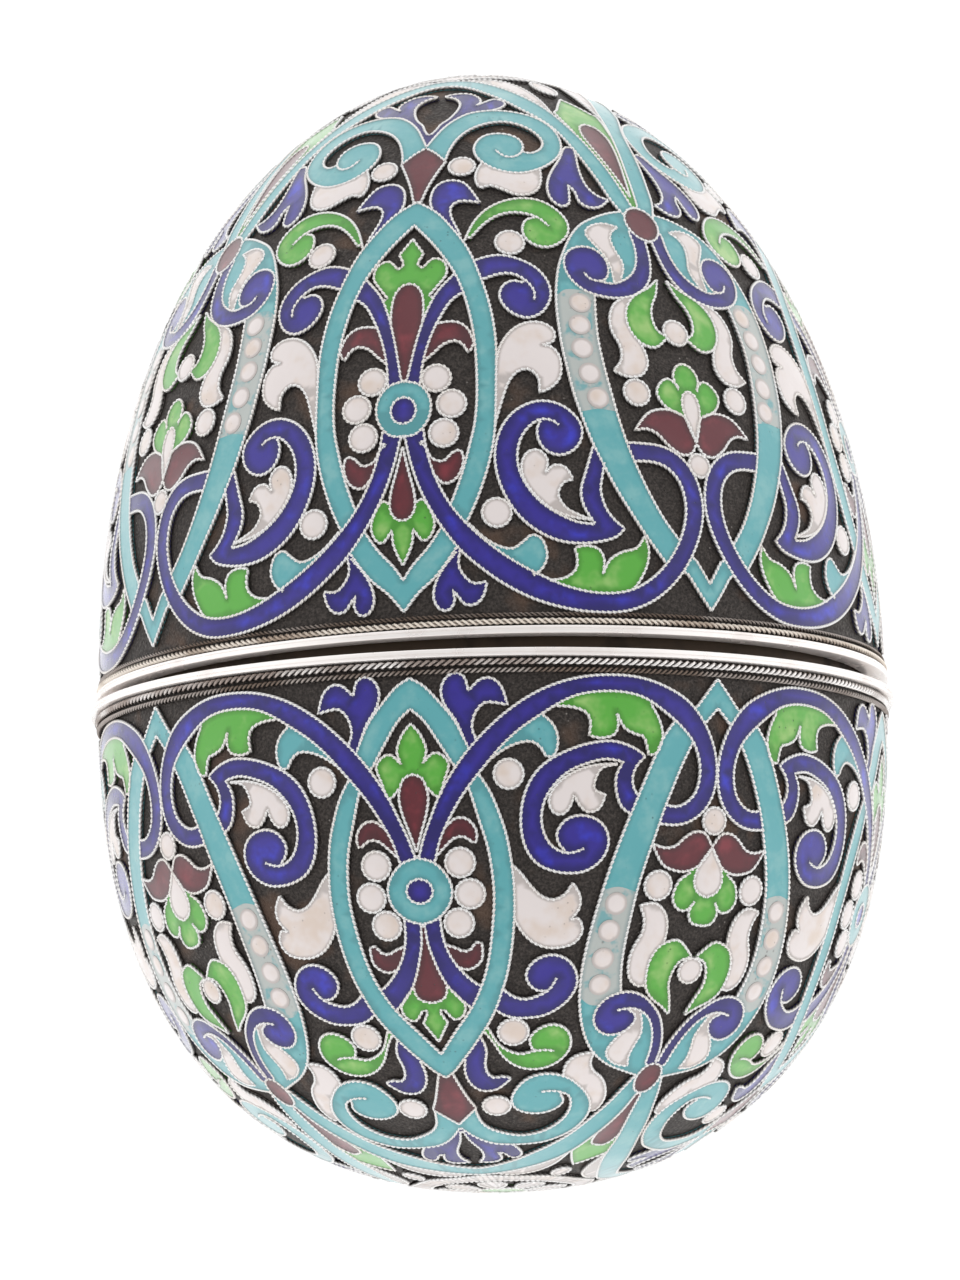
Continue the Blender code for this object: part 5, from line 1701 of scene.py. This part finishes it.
@dataclass
class Egg:
    """The two halves, laid on the flat spot."""

    base_profile: Profile = Profile(
        radius=33.5, height=41.3, girth_power=2.2, rise_power=2.5, side=-1
    )
    lid_profile: Profile = Profile(
        radius=33.4, height=53.5, girth_power=1.95, rise_power=2.15, side=1
    )
    base_shift: float = -0.3
    lid_shift: float = 0.15

    def lid_seat(self) -> Matrix:
        """Place of the lid over the lower half, tipped open a little.

        Returns:
            The lid's place from the lower half's axis.
        """
        towards = Vector((math.sin(LID_OPENS_TOWARDS), 0, math.cos(LID_OPENS_TOWARDS)))
        rest = towards * -LID_BAND_RADIUS * MM
        return (
            Matrix.Translation(rest + Vector((0, LID_LIFT * MM, 0)))
            @ Matrix.Rotation(LID_AJAR, 4, towards.cross(Vector((0, 1, 0))))
            @ Matrix.Translation(-rest)
            @ Matrix.Rotation(LID_TURN, 4, "Y")
        )

    def laid(self) -> Matrix:
        """Place of the egg's axis as it lies on the floor.

        Returns:
            The place, with the egg's middle over the origin.
        """
        lowest = -self.base_profile.height * MM
        highest = (self.lid_seat() @ Vector((0, self.lid_profile.height * MM, 0))).y
        height = (BASE_BAND_RADIUS - FLAT_DEPTH) * MM
        return Matrix.Translation((0, -(lowest + highest) / 2, height))

    def build(self) -> None:
        """Builds both halves and the collar."""
        shop = {metal: finish.material() for metal, finish in METALS.items()}
        fills = {colour: finish.material() for colour, finish in FILLS.items()}
        base_place = self.laid() @ Matrix.Rotation(BASE_TURN, 4, "Y")
        Half(
            "base",
            Pattern(
                self.base_profile, self.base_shift, BASE_LINES, BASE_SEAMS, BASE_DOTS, BASE_SEEDS
            ),
            band_radius=BASE_BAND_RADIUS, thick_rope=0.65, thin_rope=0.5, thick_pitch=0.64,
            thin_pitch=0.48, rope_lay=-1, rope_metal=Metal.ROPE, place=base_place,
        ).build(shop, fills)
        Half(
            "lid",
            Pattern(self.lid_profile, self.lid_shift, LID_LINES, LID_SEAMS, LID_DOTS, LID_SEEDS),
            band_radius=LID_BAND_RADIUS, thick_rope=0.55, thin_rope=0.38, thick_pitch=0.56,
            thin_pitch=0.44, rope_lay=1, rope_metal=Metal.WARM_ROPE,
            place=self.laid() @ self.lid_seat(),
        ).build(shop, fills)
        # the collar is dressed in gilding painted near black, as the shadow in the gap between the
        # halves
        Collar(base_place).build(shop[Metal.SHADOWED_GILT])


@dataclass
class Studio:
    """Pale floor, soft light and the camera over the lying egg."""

    aim: tuple[float, float, float] = (0.0, -0.006207, 0.03255)
    tilt: float = math.radians(8.4)
    roll: float = math.radians(-1.2)
    distance: float = 0.7
    offset: tuple[float, float] = (0.001042, -0.005254)
    lens: float = 232.3
    sensor: float = 36.0
    clip: float = 0.01
    floor_size: float = 6.0
    floor_tone: float = 0.9
    floor_rough: float = 0.9
    floor_glow: float = 0.45
    horizon: float = 1.25
    overhead: float = 0.7
    sky_reach: tuple[float, float] = (0.35, 0.98)

    def axes(self) -> tuple[Vector, Vector, Vector]:
        """The camera's own directions.

        Returns:
            Its right, up and back.
        """
        back = Vector((0, -math.sin(self.tilt), math.cos(self.tilt)))
        up = Vector((0, math.cos(self.tilt), math.sin(self.tilt)))
        right = Vector((1, 0, 0))
        cos, sin = math.cos(self.roll), math.sin(self.roll)
        return cos * right + sin * up, cos * up - sin * right, back

    def set_camera(self) -> None:
        """Sets the camera at the photograph's angle."""
        right, up, back = self.axes()
        data = bpy.data.cameras.new("camera")
        data.lens = self.lens
        data.sensor_width = self.sensor
        data.clip_start = self.clip
        camera = bpy.data.objects.new("camera", data)
        bpy.context.scene.collection.objects.link(camera)
        spot = Vector(self.aim) + back * self.distance
        spot = spot - right * self.offset[0] - up * self.offset[1]
        turn = Matrix((right, up, back)).transposed().to_4x4()
        camera.matrix_world = Matrix.Translation(spot) @ turn
        bpy.context.scene.camera = camera

    def set_floor(self) -> None:
        """Lays the pale floor."""
        bpy.ops.object.select_all(action="DESELECT")
        bpy.ops.mesh.primitive_plane_add(size=self.floor_size)
        floor = bpy.context.active_object
        floor.name = "floor"
        material = bpy.data.materials.new("pale_floor")
        material.use_nodes = True
        Bench(material.node_tree).fill(material.node_tree.nodes["Principled BSDF"], {
            "Base Color": (self.floor_tone, self.floor_tone, self.floor_tone, 1),
            "Roughness": self.floor_rough,
            "Emission Color": (1, 1, 1, 1),
            "Emission Strength": self.floor_glow,
        })
        floor.data.materials.append(material)

    def set_light(self) -> None:
        """Lights the scene from all round, more from the sides than from overhead."""
        world = bpy.data.worlds.new("studio")
        world.use_nodes = True
        bench = Bench(world.node_tree)
        direction = bench.add("ShaderNodeTexCoord").outputs["Generated"]
        height = bench.add("ShaderNodeSeparateXYZ", {"Vector": direction}).outputs["Z"]
        bench.fill(world.node_tree.nodes["Background"], {
            "Color": (1, 1, 1, 1),
            "Strength": bench.ramp(height, *self.sky_reach, self.horizon, self.overhead),
        })
        bpy.context.scene.world = world
        bpy.context.scene.view_settings.view_transform = "Standard"

    def build(self) -> None:
        """Sets floor, light and camera."""
        self.set_floor()
        self.set_light()
        self.set_camera()


def main() -> None:
    """Builds the egg and the studio."""
    bpy.ops.object.select_all(action="DESELECT")
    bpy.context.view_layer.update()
    Egg().build()
    Studio().build()


if __name__ == "__main__":
    main()
